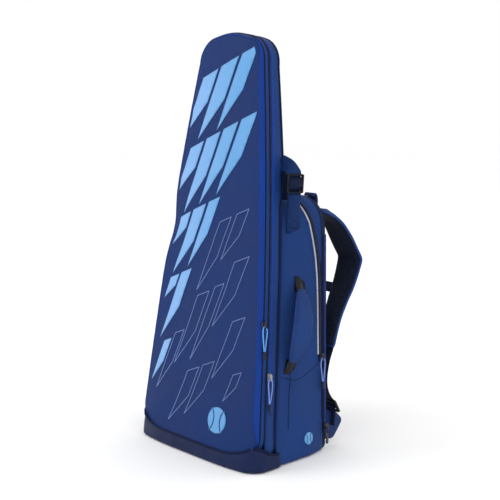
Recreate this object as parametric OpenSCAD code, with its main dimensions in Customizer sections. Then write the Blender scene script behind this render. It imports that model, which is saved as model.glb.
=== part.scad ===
// Racket backpack: a tall tapered racket compartment with a fold-down front cover,
// a main compartment behind it, a padded back and two shoulder straps.
// Millimetres. X across the bag, front faces -Y, +Z up. Origin: centre of the base on the floor.

/* [Body] */
// Height of the racket compartment
bag_h = 750; // [700:5:790]
// Width across the base
bag_w = 314; // [290:2:330]
// Depth at the base, without shoulder straps
bag_d = 183; // [170:1:200]
// How far the front face leans back from bottom to top
setback = 95; // [70:1:105]
// Height of the main compartment
main_h = 464; // [430:2:490]
// Height of the coated base panel
base_h = 18; // [14:1:24]
// Half the width at the top of the racket compartment
top_half = 79; // [70:1:90]
// Outward bow of the racket compartment's sides
side_bow = 10; // [4:1:14]
// Corner radius at the top of the racket compartment
top_r = 48; // [36:1:60]
// Corner radius at the bottom of the front cover
low_r = 34; // [20:1:45]
// Thickness of a fabric wall
wall = 4; // [3:0.5:6]

/* [Racket compartment] */
// Depth of the fold-down front cover
cover_d = 20; // [16:1:24]
// Depth of the whole racket compartment, back wall included
rack_d = 48; // [44:1:54]
// Thickness of the padded front face
face_t = 6; // [4:0.5:8]
// Height of the cover's fold along the leaning front face
fold_t = 150; // [120:5:160]
// Thickness of the padded wall between the compartments
divider_t = 5; // [3:0.5:8]

/* [Main compartment] */
// Half the width of the back panel at its foot
back_low = 155; // [148:1:160]
// Half the width of the back panel under its top corners
back_high = 149; // [140:1:155]
// Radius of the main compartment's top corners
main_r = 52; // [40:1:64]
// Thickness of the back panel
back_t = 7; // [5:0.5:10]
// Thickness of the frame sheet
sheet_t = 1.5; // [1:0.1:3]
// Room for a laptop in its sleeve
laptop_gap = 17; // [14:1:22]
// Height of the laptop sleeve
sleeve_h = 300; // [240:10:340]

/* [Zips] */
// Height of a zip's coil and tape over the fabric
zip_t = 1.4; // [1:0.1:2]
// Width of a zip coil
coil_w = 6; // [5:0.5:8]
// Diameter of a pull cord
cord_d = 2.2; // [1.8:0.1:2.4]
// Length of a pull cord's loop
pull_len = 42; // [34:1:50]
// Gap between a slider and the fabric
slider_gap = 1; // [0.6:0.1:1.5]

/* [Straps] */
// Width of a shoulder strap at the shoulder
strap_w = 62; // [54:1:70]
// Thickness of a shoulder strap
strap_t = 13; // [9:1:16]
// Distance from the bag's middle to a strap's middle at the top
strap_x = 110; // [96:1:114]
// Width of the strap webbing
web_w = 25; // [20:1:30]
// Thickness of webbing
web_t = 1.8; // [1.4:0.1:2.4]
// Width of the compression webbing
comp_w = 30; // [25:1:32]
// Width of the chest webbing
chest_w = 20; // [15:1:25]

/* [Handles] */
// Width of the side handle's grip
grip_w = 42; // [32:1:46]
// Thickness of the side handle's grip
grip_t = 8; // [6:1:10]
// How far the side handle stands out
grip_rise = 14; // [10:1:18]
// Width of the haul loop between its ends
haul_w = 84; // [70:2:100]

/* [Hidden] */
gap = 0.3;
lean = atan(setback / bag_h);
front_y = -bag_d / 2;
back_y = bag_d / 2;
face_len = bag_h / cos(lean);
low_half = bag_w / 2;
low_t = base_h + gap;
crown = 5;
corner_t = face_len - crown - top_r;
side_n = 9;
arc_n = 7;
loft_n = 6;
big = 900;
main_side = main_h - main_r;
inner_y = back_y - back_t - gap;
sheet_y = inner_y - sheet_t;
sleeve_y = sheet_y - gap - laptop_gap;
// Zips: their ends, and where each slider rests.
pocket_low = 178;
pocket_high = 560;
main_zip_y = 78;
main_zip_first = 3;
rear_zip_low = 36;
rear_zip_high = 400;
zip_top = gap + zip_t + slider_gap;
rack_zip_d = cover_d + gap + coil_w / 2;
rack_slider_t = 167;
pocket_slider_t = 257;
main_slider_z = 178;
rear_slider_z = 48;
// Slider body, and where its pull swings.
slider_w = 9;
slider_l = 13;
slider_t = 2.5;
pull_w = slider_t + 1.8;
pull_z = -2.8;
// Side view of a shoulder strap's outer face and of its webbing, as y and z.
strap_path = [
    [back_y + 4, 445.5], [111, 441], [132, 432], [152, 418], [170, 394], [187, 367], [200, 346],
    [201, 335], [194, 320], [184, 302], [172, 284], [155, 264], [136, 238], [124, 214], [116, 190]];
strap_end = 33;
web_path = [[113.4, 184], [104, 160], [99, 132], [102, 110], [111, 94], [115, 88.6]];
web_x = 138;
lock_y = 130;
lock_z = 63;
comp_y = 28;
comp_turn = 16;
comp_low = 408;
chest_y = 173;
chest_z = 284;
chest_turn = 33;
haul_z = 444;
// Side handle's ends, as y and z.
handle_low = [3, 175];
handle_high = [32, 311];
handle_len = norm(handle_high - handle_low) + 1;
anchor_len = 20;
grip_off = 7;

// Racket compartment's half width at height t along its leaning face.
function side_at(t) =
    let (u = (t - low_t) / (corner_t - low_t))
    low_half + (top_half - low_half) * u + side_bow * 4 * u * (1 - u);
function arc(cx, cy, r, a0, a1) =
    [for (i = [0 : arc_n]) let (a = a0 + (a1 - a0) * i / arc_n) [cx + r * cos(a), cy + r * sin(a)]];
// Right half of the racket outline, from the bottom middle to the top middle, moved in by k.
function rack_right(k, foot_r) = concat(
    [[0, low_t]],
    foot_r > 0 ? arc(side_at(low_t + foot_r) - foot_r, low_t + foot_r, foot_r - k, -90, 0)
               : [[side_at(low_t) - k, low_t]],
    [for (i = [1 : side_n - 1]) let (t = low_t + foot_r + (corner_t - low_t - foot_r) * i / side_n)
        [side_at(t) - k, t]],
    arc(top_half - top_r, corner_t, top_r - k, 0, 80),
    [[0, face_len - k]]);
function flipped(p) = [for (i = [len(p) - 2 : -1 : 1]) [-p[i][0], p[i][1]]];
function closed(p) = concat(p, flipped(p));

// Places things drawn in the leaning frame of the front face: x, depth behind the face, height.
module on_face() {
    translate([0, front_y, 0]) rotate([-lean, 0, 0]) children();
}
module rack_slab(k, d0, d1, foot_r = 0) {
    on_face() translate([0, d1, 0]) rotate([90, 0, 0]) linear_extrude(d1 - d0)
        polygon(closed(rack_right(k, foot_r)));
}
module above_base(h = base_h + gap) {
    difference() {
        children();
        translate([-big / 2, -big / 2, h - big]) cube(big);
    }
}

// Main compartment: both ends share the same heights, so its walls are straight lines in between.
function split_y(z) = front_y + z * tan(lean) + (rack_d + gap) / cos(lean);
function front_half(z) = side_at(z / cos(lean)) - 1;
function back_half(z) = back_low + (back_high - back_low) * (z - base_h) / (main_side - base_h);
function main_right(k, half_low, half_high, mid) = concat(
    [for (i = [0 : 5]) let (z = base_h + gap + (main_side / 2 - base_h - gap) * i / 5)
        [half_low + (mid - half_low) * i / 5 - k, z]],
    [for (i = [1 : 4]) [mid + (half_high - mid) * i / 4 - k, main_side * (0.5 + i / 8)]],
    arc(half_high - main_r, main_side, main_r - k, 15, 90),
    [[0, main_h - k]]);
function over(p) = concat(p, [for (i = [len(p) - 2 : -1 : 0]) [-p[i][0], p[i][1]]]);
function main_front(k) =
    over(main_right(k, front_half(base_h), front_half(main_side), front_half(main_side / 2)));
function main_back(k) = over(main_right(k, back_low, back_high, (back_low + back_high) / 2));
// A wall point of the main compartment at depth y and height z.
function main_x(y, z) =
    let (s = (y - split_y(z)) / (inner_y - split_y(z)))
    front_half(z) + (back_half(z) - front_half(z)) * s;

// Outer point i of the main compartment at depth y, moved in by k.
function main_point(a, b, i, y) =
    let (z = a[i][1], s = (y - split_y(z)) / (inner_y - split_y(z)))
    [a[i][0] + (b[i][0] - a[i][0]) * s, y, z];
function wall_point(ends, i, s) =
    let (z = ends[0][i][1], y = split_y(z) + (inner_y - split_y(z)) * s)
    [ends[0][i][0] + (ends[1][i][0] - ends[0][i][0]) * s, y, z];
// Solid swept through sections that all have the same count of points.
module sweep(sections) {
    n = len(sections[0]);
    m = len(sections);
    polyhedron(
        points = [for (p = sections) each p],
        faces = concat(
            [[for (i = [0 : n - 1]) i]],
            [[for (i = [n - 1 : -1 : 0]) (m - 1) * n + i]],
            [for (j = [0 : m - 2]) for (i = [0 : n - 1]) let (a = j * n + i, b = j * n + (i + 1) % n)
                each [[a, a + n, b + n], [a, b + n, b]]]),
        convexity = 6);
}

// Coated bottom tray, flat underneath with sloping lower edges.
module base_block(k, z0) {
    bevel = 8;
    intersection() {
        translate([0, 0, z0]) linear_extrude(base_h - z0) hull()
            for (x = [-1, 1]) for (y = [-1, 1])
                translate([x * (low_half - 32), y * (bag_d / 2 - 32)]) circle(32 - k, $fn = 48);
        rotate([90, 0, 0]) linear_extrude(big, center = true)
            polygon([for (s = [-1, 1]) each s < 0
                ? [[-low_half, base_h], [-low_half, bevel], [-low_half + bevel, 0]]
                : [[low_half - bevel, 0], [low_half, bevel], [low_half, base_h]]]);
        rotate([90, 0, 90]) linear_extrude(big, center = true)
            polygon([[front_y, base_h], [front_y, bevel], [front_y + bevel, 0],
                     [back_y - bevel, 0], [back_y, bevel], [back_y, base_h]]);
    }
}
module base_panel() {
    color("midnightblue") difference() {
        base_block(0, 0);
        translate([0, 0, 3]) linear_extrude(base_h) hull()
            for (x = [-1, 1]) for (y = [-1, 1])
                translate([x * (low_half - 40), y * (bag_d / 2 - 40)]) circle(32, $fn = 48);
    }
}
module base_board() {
    color("dimgray") translate([0, 0, 3 + gap]) linear_extrude(3) hull()
        for (x = [-1, 1]) for (y = [-1, 1])
            translate([x * (low_half - 40), y * (bag_d / 2 - 40)]) circle(30, $fn = 48);
}

// Racket compartment.
module cover_shape() {
    difference() {
        rack_slab(0, 0, cover_d, low_r);
        difference() {
            rack_slab(wall, face_t, cover_d + 1, low_r);
            on_face() translate([-big / 2, -1, low_t]) cube([big, face_t + 1, 10]);
        }
        on_face() translate([-big / 2, face_t, low_t - 10]) cube([big, cover_d, 10 + low_r]);
    }
}
// The part that folds down, above the fold, and the fixed part below it.
module racket_cover() {
    color("darkblue") intersection() {
        cover_shape();
        on_face() translate([-big / 2, -1, fold_t + gap]) cube(big);
    }
}
module cover_foot() {
    color("darkblue") above_base(base_h + 2 * gap) intersection() {
        cover_shape();
        on_face() translate([-big / 2, -1, fold_t - big]) cube(big);
    }
}
module racket_gusset() {
    color("royalblue") above_base() difference() {
        rack_slab(0, cover_d + gap, rack_d - divider_t - gap);
        rack_slab(wall, cover_d, rack_d);
        on_face() translate([-low_half + wall + 2, cover_d, 0]) cube([2 * (low_half - wall) - 4, rack_d, 60]);
    }
}
module divider_panel() {
    color("slateblue") above_base() rack_slab(0, rack_d - divider_t, rack_d);
}
module racket_zip() {
    color("steelblue") above_base(fold_t) difference() {
        rack_slab(-gap - zip_t, cover_d + gap, cover_d + gap + coil_w);
        rack_slab(-gap, cover_d, rack_d);
    }
}
// Front pocket's zip, along the cover's right edge.
module pocket_zip() {
    color("steelblue") difference() {
        rack_slab(-gap - zip_t, 3, 3 + coil_w);
        rack_slab(-gap, 0, rack_d);
        translate([-big, -big / 2, -1]) cube(big);
        translate([-big / 2, -big / 2, pocket_low - big]) cube(big);
        translate([-big / 2, -big / 2, pocket_high]) cube(big);
    }
}

// Main compartment.
module main_shell() {
    outer = [main_front(0), main_back(0)];
    inner = [main_front(wall), main_back(wall)];
    last = len(outer[0]) - 1;
    color("royalblue") sweep([for (i = [0 : last]) concat(
        [for (j = [0 : loft_n]) wall_point(outer, i, j / loft_n)],
        [for (j = [loft_n : -1 : 0]) wall_point(inner, i, j / loft_n)])]);
}
module back_panel() {
    color("midnightblue") above_base() translate([0, back_y, 0]) rotate([90, 0, 0])
        linear_extrude(back_t) polygon(main_back(0));
}
module frame_sheet() {
    color("gainsboro") above_base() translate([0, inner_y - gap / 2, 0]) rotate([90, 0, 0])
        linear_extrude(sheet_t) polygon(main_back(wall + 8));
}
module laptop_sleeve() {
    half = 126;
    color("gray") difference() {
        translate([-half, sleeve_y - 5, base_h + 2]) cube([2 * half, laptop_gap + 5 - gap, sleeve_h]);
        translate([-half + 5, sleeve_y, base_h + 8]) cube([2 * half - 10, laptop_gap + 5, sleeve_h]);
    }
}
// Side view of the main zip's line: straight up the side, then curving forward over the top.
function zip_line(z) = z < 300 ? main_zip_y : main_zip_y - 26 * pow((z - 300) / (main_h - 300), 2);
// Strip that lies on the main compartment and follows the zip line, from y offset y0 to y1.
module zip_strip(y0, y1, thick) {
    low = [main_front(-gap), main_back(-gap)];
    high = [main_front(-gap - thick), main_back(-gap - thick)];
    last = len(low[0]) - 1 - main_zip_first;
    sweep([for (i = [main_zip_first : last]) let (y = zip_line(low[0][i][1]))
        [main_point(low[0], low[1], i, y + y0), main_point(low[0], low[1], i, y + y1),
         main_point(high[0], high[1], i, y + y1), main_point(high[0], high[1], i, y + y0)]]);
}
module main_zip() {
    color("steelblue") zip_strip(-coil_w / 2, coil_w / 2, zip_t);
}
module main_piping() {
    color("silver") zip_strip(-coil_w / 2 - 3.5, -coil_w / 2 - 0.5, 2.2);
}
module rear_zip() {
    color("steelblue") hull() for (z = [rear_zip_low, rear_zip_high])
        translate([back_half(z) + gap + 0.4, back_y - back_t, z]) cube([zip_t, coil_w, 1]);
}

// Padding on the back.
function rounded(x0, z0, x1, z1, r) = concat(
    arc(x1 - r, z0 + r, r, -90, 0), arc(x1 - r, z1 - r, r, 0, 90),
    arc(x0 + r, z1 - r, r, 90, 180), arc(x0 + r, z0 + r, r, 180, 270));
module side_of(side) {
    if (side < 0) mirror([1, 0, 0]) children();
    else children();
}
module back_pad(side) {
    color("dimgray") side_of(side) translate([0, back_y + gap + 9, 0]) rotate([90, 0, 0])
        linear_extrude(9) polygon(rounded(14, 96, 118, 392, 22));
}

// Shoulder straps: a side profile cut to a front outline.
function side_normal(p, i) =
    let (a = p[max(i - 1, 0)], b = p[min(i + 1, len(p) - 1)], d = b - a) [d[1], -d[0]] / norm(d);
function band(p, t) = concat(p, [for (i = [len(p) - 1 : -1 : 0]) p[i] + side_normal(p, i) * t]);
module side_profile(points, x0, x1) {
    translate([x0, 0, 0]) rotate([90, 0, 90]) linear_extrude(x1 - x0) polygon(points);
}
module shoulder_strap(side) {
    half = strap_w / 2;
    color("navy") side_of(side) intersection() {
        side_profile(band(strap_path, strap_t), 40, 200);
        translate([0, 300, 0]) rotate([90, 0, 0]) linear_extrude(300) polygon([
            [strap_x - half, 480], [strap_x - half, 345], [strap_x - half + 16, 284],
            [138 - strap_end / 2, 214], [138 - strap_end / 2, 180], [138 + strap_end / 2, 180],
            [138 + strap_end / 2, 214], [strap_x + half + 5, 284], [strap_x + half, 345],
            [strap_x + half, 480]]);
    }
}
module strap_tab(side) {
    color("navy") side_of(side) side_profile(
        rounded(back_y + gap, 448, back_y + 13, 472, 5), strap_x - 12, strap_x + 15);
}
module strap_webbing(side) {
    color("navy") side_of(side)
        side_profile(band(web_path, -web_t), web_x - web_w / 2, web_x + web_w / 2);
}
// Webbing adjuster: a flat frame with a bar between two slots.
module ladder(w, h, t, slot) {
    difference() {
        translate([-w / 2, -t / 2, 0]) cube([w, t, h]);
        for (z = [4, h - 4 - slot])
            translate([-w / 2 + 3.5, -t, z]) cube([w - 7, 2 * t, slot]);
    }
}
module ladder_lock(side) {
    color("black") side_of(side) translate([web_x, lock_y, lock_z]) rotate([30, 0, 0])
        ladder(web_w + 8, 28, 6, 6.5);
}
module wing_tab(side) {
    color("navy") side_of(side) side_profile(
        [[back_y + gap, 24], [122, 40], [136, 52], [137, 58.5], [128, 59.5], [back_y + gap, 78]],
        web_x - 2, web_x + 2);
}

// Compression straps between the racket compartment and the main compartment.
module comp_frame(side) {
    side_of(side) translate([main_x(comp_y, comp_low), comp_y, 0]) rotate([0, 0, -comp_turn]) children();
}
module comp_profile(points) {
    translate([0, comp_w / 2, 0]) rotate([90, 0, 0]) linear_extrude(comp_w) polygon(band(points, web_t));
}
module compression_upper(side) {
    color("navy") comp_frame(side) comp_profile([[7.5, 509.5], [4.5, 518], [-4, 528], [-14, 537], [-19.6, 546]]);
}
module compression_lower(side) {
    color("navy") comp_frame(side) comp_profile([[3.2, comp_low], [4, 440], [6.2, 473.5]]);
}
module compression_lock(side) {
    color("black") comp_frame(side) translate([6.5, 0, 474.5]) rotate([0, 3, 90])
        ladder(comp_w + 6, 34, 7, 8);
}

// Chest strap, drawn flat: x across, y away from the strap's face, z along the strap.
module chest_frame() {
    translate([0, chest_y, chest_z]) rotate([-chest_turn, 0, 0]) children();
}
module chest_slider(side) {
    color("black") chest_frame() side_of(side) difference() {
        translate([97, 1.2, -14]) cube([16, 6.6, 28]);
        translate([90, 3, -chest_w / 2 - 0.5]) cube([30, web_t + 1, chest_w + 1]);
    }
}
module chest_webbing_left() {
    color("navy") chest_frame() translate([-116, 3.5, -chest_w / 2]) cube([91, web_t, chest_w]);
}
module chest_webbing_right() {
    color("navy") chest_frame() translate([21, 3.5, -chest_w / 2]) cube([95, web_t, chest_w]);
}
module chest_buckle_female() {
    color("black") chest_frame() difference() {
        translate([-24.5, 0.6, -13]) cube([26.5, 8.4, 26]);
        translate([-12, 2.4, -9]) cube([30, 4.8, 18]);
    }
}
module chest_buckle_male() {
    color("black") chest_frame() union() {
        translate([2.5, 0.6, -13]) cube([18, 8.4, 26]);
        translate([-11, 3, -8.4]) cube([14, 3.6, 16.8]);
    }
}

// Haul loop, hanging on the back.
module haul_loop() {
    color("navy") translate([0, back_y + 4, haul_z]) rotate([90, 0, 0]) linear_extrude(3) difference() {
        polygon(rounded(-haul_w / 2, -42, haul_w / 2, 1.8, 16));
        polygon(rounded(-haul_w / 2 + 14, -28, haul_w / 2 - 14, -2, 8));
        translate([-haul_w / 2 + 14, -4]) square([haul_w - 28, 12]);
    }
}

// Padded side handle, drawn along the line between its two anchors.
module handle_frame() {
    p = [main_x(handle_low[0], handle_low[1]), handle_low[0], handle_low[1]];
    q = [main_x(handle_high[0], handle_high[1]), handle_high[0], handle_high[1]];
    d = q - p;
    translate(p) rotate([-atan2(d[1], d[2]), 0, 0]) rotate([0, atan2(d[0], norm([d[1], d[2]])), 0])
        rotate([0, 0, -4]) children();
}
module side_handle() {
    n = 12;
    a = anchor_len / 2 + 0.4;
    span = handle_len - 2 * a;
    inner = [for (i = [0 : n]) [grip_off + grip_rise * sin(180 * i / n), a + span * i / n]];
    outer = [for (i = [n : -1 : 0]) [grip_off + grip_t + grip_rise * sin(180 * i / n), a + span * i / n]];
    leaf = [for (i = [0 : n]) [9 + (grip_w / 2 - 9) * pow(sin(180 * i / n), 0.7), a + span * i / n]];
    leaf_back = [for (i = [n : -1 : 0]) [-leaf[i][0], leaf[i][1]]];
    color("mediumblue") handle_frame() intersection() {
        translate([0, 40, 0]) rotate([90, 0, 0]) linear_extrude(80) polygon(concat(inner, outer));
        rotate([90, 0, 90]) linear_extrude(80) polygon(concat(leaf, leaf_back));
    }
}
module handle_anchor(z) {
    color("black") handle_frame() translate([1.6, -10, z - anchor_len / 2])
        cube([13, 20, anchor_len]);
}

// Zip sliders and pulls: x away from the fabric, z along the zip.
module slider_shape() {
    translate([0, -slider_w / 2, -slider_l / 2]) cube([slider_t, slider_w, slider_l]);
    for (z = [-slider_l / 2, slider_l / 2 - 2])
        translate([slider_t - 0.1, -2, z]) cube([4, 4, 2]);
    translate([slider_t + 3.6, -2, -slider_l / 2]) cube([1.4, 4, slider_l]);
}
module pull_shape() {
    d = cord_d / 2;
    translate([pull_w - d, 0, pull_z]) rotate([90, 0, 90]) linear_extrude(cord_d) difference() {
        polygon([[-7 - d, d], [7 + d, d], [2.6, -pull_len], [-2.6, -pull_len]]);
        polygon([[-7 + d, -d], [7 - d, -d], [0.6, -pull_len + 2], [-0.6, -pull_len + 2]]);
    }
}
module grip_shape() {
    translate([pull_w - 2.6, 0, pull_z]) rotate([90, 0, 90]) linear_extrude(5.2)
        polygon(rounded(-4.5, -pull_len - 14, 4.5, -pull_len - 0.2, 3));
}
function side_slope(t) = (side_at(t + 1) - side_at(t - 1)) / 2;
module on_rack(side, t, d, raise) {
    side_of(side) on_face() translate([side_at(t) + raise, d, t]) rotate([0, atan(side_slope(t)), 0])
        children();
}
module racket_slider(side) {
    color("dimgray") on_rack(side, rack_slider_t, rack_zip_d, zip_top) slider_shape();
}
module racket_pull(side) {
    color("cornflowerblue") on_rack(side, rack_slider_t, rack_zip_d, zip_top) pull_shape();
}
module racket_grip(side) {
    color("navy") on_rack(side, rack_slider_t, rack_zip_d, zip_top) grip_shape();
}
module pocket_slider() {
    color("dimgray") on_rack(1, pocket_slider_t, 3 + coil_w / 2, zip_top) slider_shape();
}
module pocket_pull() {
    color("deepskyblue") on_rack(1, pocket_slider_t, 3 + coil_w / 2, zip_top) pull_shape();
}
module pocket_grip() {
    color("navy") on_rack(1, pocket_slider_t, 3 + coil_w / 2, zip_top) grip_shape();
}
module on_main() {
    y = main_zip_y;
    z = main_slider_z;
    rise = (main_x(y, z + 20) - main_x(y, z - 20)) / 40;
    turn = (main_x(y + 5, z) - main_x(y - 5, z)) / 10;
    translate([main_x(y, z) + zip_top, y, z]) rotate([0, atan(rise), -atan(turn)]) children();
}
module main_slider() {
    color("silver") on_main() slider_shape();
}
module main_pull() {
    color("cornflowerblue") on_main() pull_shape();
}
module main_grip() {
    color("navy") on_main() grip_shape();
}
module on_rear() {
    z = rear_slider_z;
    translate([back_half(z) + 0.4 + zip_top, back_y - back_t + coil_w / 2, z])
        rotate([0, atan(back_half(z + 0.5) - back_half(z - 0.5)), 0]) children();
}
module rear_slider() {
    color("gray") on_rear() slider_shape();
}
module rear_puller() {
    color("gray") on_rear() translate([pull_w - 0.8, 0, pull_z]) rotate([90, 0, 90])
        linear_extrude(1.6) difference() {
            polygon([[-4, 0.9], [4, 0.9], [4, -12], [3, -16], [3, -31], [-3, -31], [-3, -16], [-4, -12]]);
            polygon([[-2.4, -0.9], [2.4, -0.9], [2.4, -10], [-2.4, -10]]);
        }
}

base_panel();
base_board();
racket_cover();
cover_foot();
racket_gusset();
divider_panel();
racket_zip();
pocket_zip();
main_shell();
back_panel();
frame_sheet();
laptop_sleeve();
main_zip();
main_piping();
rear_zip();
back_pad(-1);  // back_pad_left
back_pad(1);  // back_pad_right
shoulder_strap(-1);  // shoulder_strap_left
shoulder_strap(1);  // shoulder_strap_right
strap_tab(-1);  // strap_tab_left
strap_tab(1);  // strap_tab_right
strap_webbing(-1);  // strap_webbing_left
strap_webbing(1);  // strap_webbing_right
ladder_lock(-1);  // ladder_lock_left
ladder_lock(1);  // ladder_lock_right
wing_tab(-1);  // wing_tab_left
wing_tab(1);  // wing_tab_right
compression_upper(-1);  // compression_upper_left
compression_upper(1);  // compression_upper_right
compression_lower(-1);  // compression_lower_left
compression_lower(1);  // compression_lower_right
compression_lock(-1);  // compression_lock_left
compression_lock(1);  // compression_lock_right
chest_slider(-1);  // chest_slider_left
chest_slider(1);  // chest_slider_right
chest_webbing_left();
chest_webbing_right();
chest_buckle_female();
chest_buckle_male();
haul_loop();
side_handle();
handle_anchor(handle_len);  // handle_anchor_top
handle_anchor(0);  // handle_anchor_bottom
racket_slider(-1);  // racket_slider_left
racket_slider(1);  // racket_slider_right
racket_pull(-1);  // racket_pull_left
racket_pull(1);  // racket_pull_right
racket_grip(-1);  // racket_grip_left
racket_grip(1);  // racket_grip_right
pocket_slider();
pocket_pull();
pocket_grip();
main_slider();
main_pull();
main_grip();
rear_slider();
rear_puller();
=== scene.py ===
"""Racket backpack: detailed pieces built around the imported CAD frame."""
import math
from itertools import product
import bmesh
import bpy
import numpy as np
from mathutils import Matrix, Vector, noise


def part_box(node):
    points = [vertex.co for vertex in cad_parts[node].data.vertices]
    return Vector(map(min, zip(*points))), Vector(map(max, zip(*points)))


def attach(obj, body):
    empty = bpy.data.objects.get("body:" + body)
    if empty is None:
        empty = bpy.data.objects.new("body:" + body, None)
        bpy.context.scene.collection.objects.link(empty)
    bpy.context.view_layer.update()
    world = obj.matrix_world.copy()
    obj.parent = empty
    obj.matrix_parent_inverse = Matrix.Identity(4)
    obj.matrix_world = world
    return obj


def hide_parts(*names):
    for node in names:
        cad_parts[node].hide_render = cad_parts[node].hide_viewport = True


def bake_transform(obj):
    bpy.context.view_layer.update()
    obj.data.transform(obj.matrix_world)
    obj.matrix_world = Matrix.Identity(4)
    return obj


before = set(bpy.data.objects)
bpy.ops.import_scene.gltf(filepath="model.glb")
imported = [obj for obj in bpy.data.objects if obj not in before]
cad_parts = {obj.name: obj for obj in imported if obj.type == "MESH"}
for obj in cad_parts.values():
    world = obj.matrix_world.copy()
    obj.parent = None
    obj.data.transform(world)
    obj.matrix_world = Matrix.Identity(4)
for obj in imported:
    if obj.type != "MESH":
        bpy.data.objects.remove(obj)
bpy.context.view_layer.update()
MM = 0.001
SIDES = ((1, "right"), (-1, "left"))


def span(node, axis):
    """Lowest and highest coordinate of a CAD node along an axis, in millimetres."""
    low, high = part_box(node)
    return low[axis] / MM, high[axis] / MM


# Sizes in millimetres. The first few come from the CAD, most of the rest repeat part.scad.
# t is a height along the leaning front face, z a height above the floor.
LOW_HALF = span("base_panel", 0)[1]
FRONT_Y, BACK_Y = span("base_panel", 1)
BAG_H = span("racket_cover", 2)[1]
MAIN_H = span("main_shell", 2)[1]
SETBACK = 95.0  # how far the front leans back over its height
LEAN = math.atan(SETBACK / BAG_H)
FACE_LEN = BAG_H / math.cos(LEAN)
LOW_T = 18.3  # t where the front's outline starts
TOP_HALF = 81.5  # half width at the top corners
SIDE_BOW = 10.0  # how far the sides bow out half way up
TOP_R = 48.0  # radius of the top corners
CROWN = 5.0  # rise of the top edge above its corners
CORNER_T = FACE_LEN - CROWN - TOP_R
RACK_D = 48.0  # depth of the racket compartment
FOLD_T = 150.0  # t of the cover's fold
MAIN_R = 52.0  # radius of the main compartment's top corners
MAIN_SIDE = MAIN_H - MAIN_R
BACK_LOW = 155.0  # half width of the back at its foot
BACK_HIGH = 149.0  # and at its top corners
INNER_Y = 84.2  # where the main walls end and the back panel starts
FRONT_FOOT_R = 46.0  # radius of the cover's bottom corners
GUSSET_FOOT_R = 30.0  # and of the racket compartment's
EDGE_R = 7.0  # rounding of the front's edge
ZIP_TOP = 2.7  # how far a zip slider's base stands off the wall
STRAP_X = 138.0  # middle of the lower webbing and its wing

# ---------------------------------------------------------------- materials


def colour(red, green, blue):
    """Linear colour from 0 to 255 values as seen on a screen."""
    out = []
    for value in (red, green, blue):
        c = value / 255
        out.append(c / 12.92 if c <= 0.04045 else ((c + 0.055) / 1.055) ** 2.4)
    return (*out, 1.0)


def add(tree, kind, inputs=None, **attributes):
    made = tree.nodes.new(kind)
    for name, value in attributes.items():
        setattr(made, name, value)
    for name, value in (inputs or {}).items():
        if isinstance(value, bpy.types.NodeSocket):
            tree.links.new(value, made.inputs[name])
        else:
            made.inputs[name].default_value = value
    return made


def maths(tree, operation, *values):
    return add(tree, "ShaderNodeMath", dict(enumerate(values)), operation=operation).outputs[0]


def start(name):
    """A new material with its tree, its shader node and its object coordinates."""
    material = bpy.data.materials.new(name)
    material.use_nodes = True
    tree = material.node_tree
    coords = add(tree, "ShaderNodeTexCoord").outputs["Object"]
    return material, tree, tree.nodes["Principled BSDF"], coords


def shades(tree, shader, factor, base, light):
    """Base colour mixed from two screen colours."""
    inputs = {"Factor": factor, 6: colour(*base), 7: colour(*light)}
    mix = add(tree, "ShaderNodeMix", inputs, data_type="RGBA")
    tree.links.new(mix.outputs[2], shader.inputs["Base Color"])


def mapped_range(tree, value, **limits):
    inputs = {"Value": value, **{name.replace("_", " "): limit for name, limit in limits.items()}}
    return add(tree, "ShaderNodeMapRange", inputs).outputs[0]


def bump(tree, target, height, strength, distance):
    """Bump of a height in metres, led to a shader's or another bump's Normal; returns the bump."""
    made = add(tree, "ShaderNodeBump", {"Height": height, "Strength": strength, "Distance": distance})
    tree.links.new(made.outputs[0], target.inputs["Normal"])
    return made


def finish(shader, **values):
    """Sets the shader's constant inputs, named with _ for a space."""
    for name, value in values.items():
        shader.inputs[name.replace("_", " ")].default_value = value


def noise_of(tree, coords, scale, detail=3.0, low=0.3, high=0.7):
    """Noise stretched so that it runs from 0 to 1."""
    made = add(tree, "ShaderNodeTexNoise", {"Vector": coords, "Scale": scale, "Detail": detail})
    return mapped_range(tree, made.outputs["Fac"], From_Min=low, From_Max=high)


def weave_of(tree, coords, pitch):
    """Height of a plain weave with that yarn pitch in millimetres."""
    parts = add(tree, "ShaderNodeSeparateXYZ", {"Vector": coords})
    turn = 2 * math.pi / (pitch * MM)
    across = maths(tree, "ADD", parts.outputs["X"], parts.outputs["Y"])
    warp = maths(tree, "SINE", maths(tree, "MULTIPLY", across, turn))
    weft = maths(tree, "SINE", maths(tree, "MULTIPLY", parts.outputs["Z"], turn))
    return maths(tree, "MULTIPLY", warp, weft)


def cloth(name, base, light, pitch=1.1, rough=(0.5, 0.7), yarn=0.35, sheen=0.08, mottle=0.35):
    """Woven cloth: two shades, yarn bump, soft creases and sheen."""
    material, tree, shader, coords = start(name)
    weave = weave_of(tree, coords, pitch)
    broad = noise_of(tree, coords, 11.0)
    fine = noise_of(tree, coords, 900.0, 1.0)
    shade = maths(tree, "MULTIPLY", maths(tree, "ADD", broad, fine), mottle)
    yarn_shade = maths(tree, "MULTIPLY_ADD", weave, 0.12, 0.1)
    shades(tree, shader, maths(tree, "ADD", shade, yarn_shade), base, light)
    spread = mapped_range(tree, broad, To_Min=rough[0], To_Max=rough[1])
    tree.links.new(spread, shader.inputs["Roughness"])
    yarns = bump(tree, shader, weave, yarn, 0.0004)
    bump(tree, yarns, noise_of(tree, coords, 26.0, 4.0), 0.22, 0.003)
    finish(shader, Specular_IOR_Level=0.14, Sheen_Weight=sheen, Sheen_Roughness=0.45,
           Sheen_Tint=colour(*light))
    return material


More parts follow.
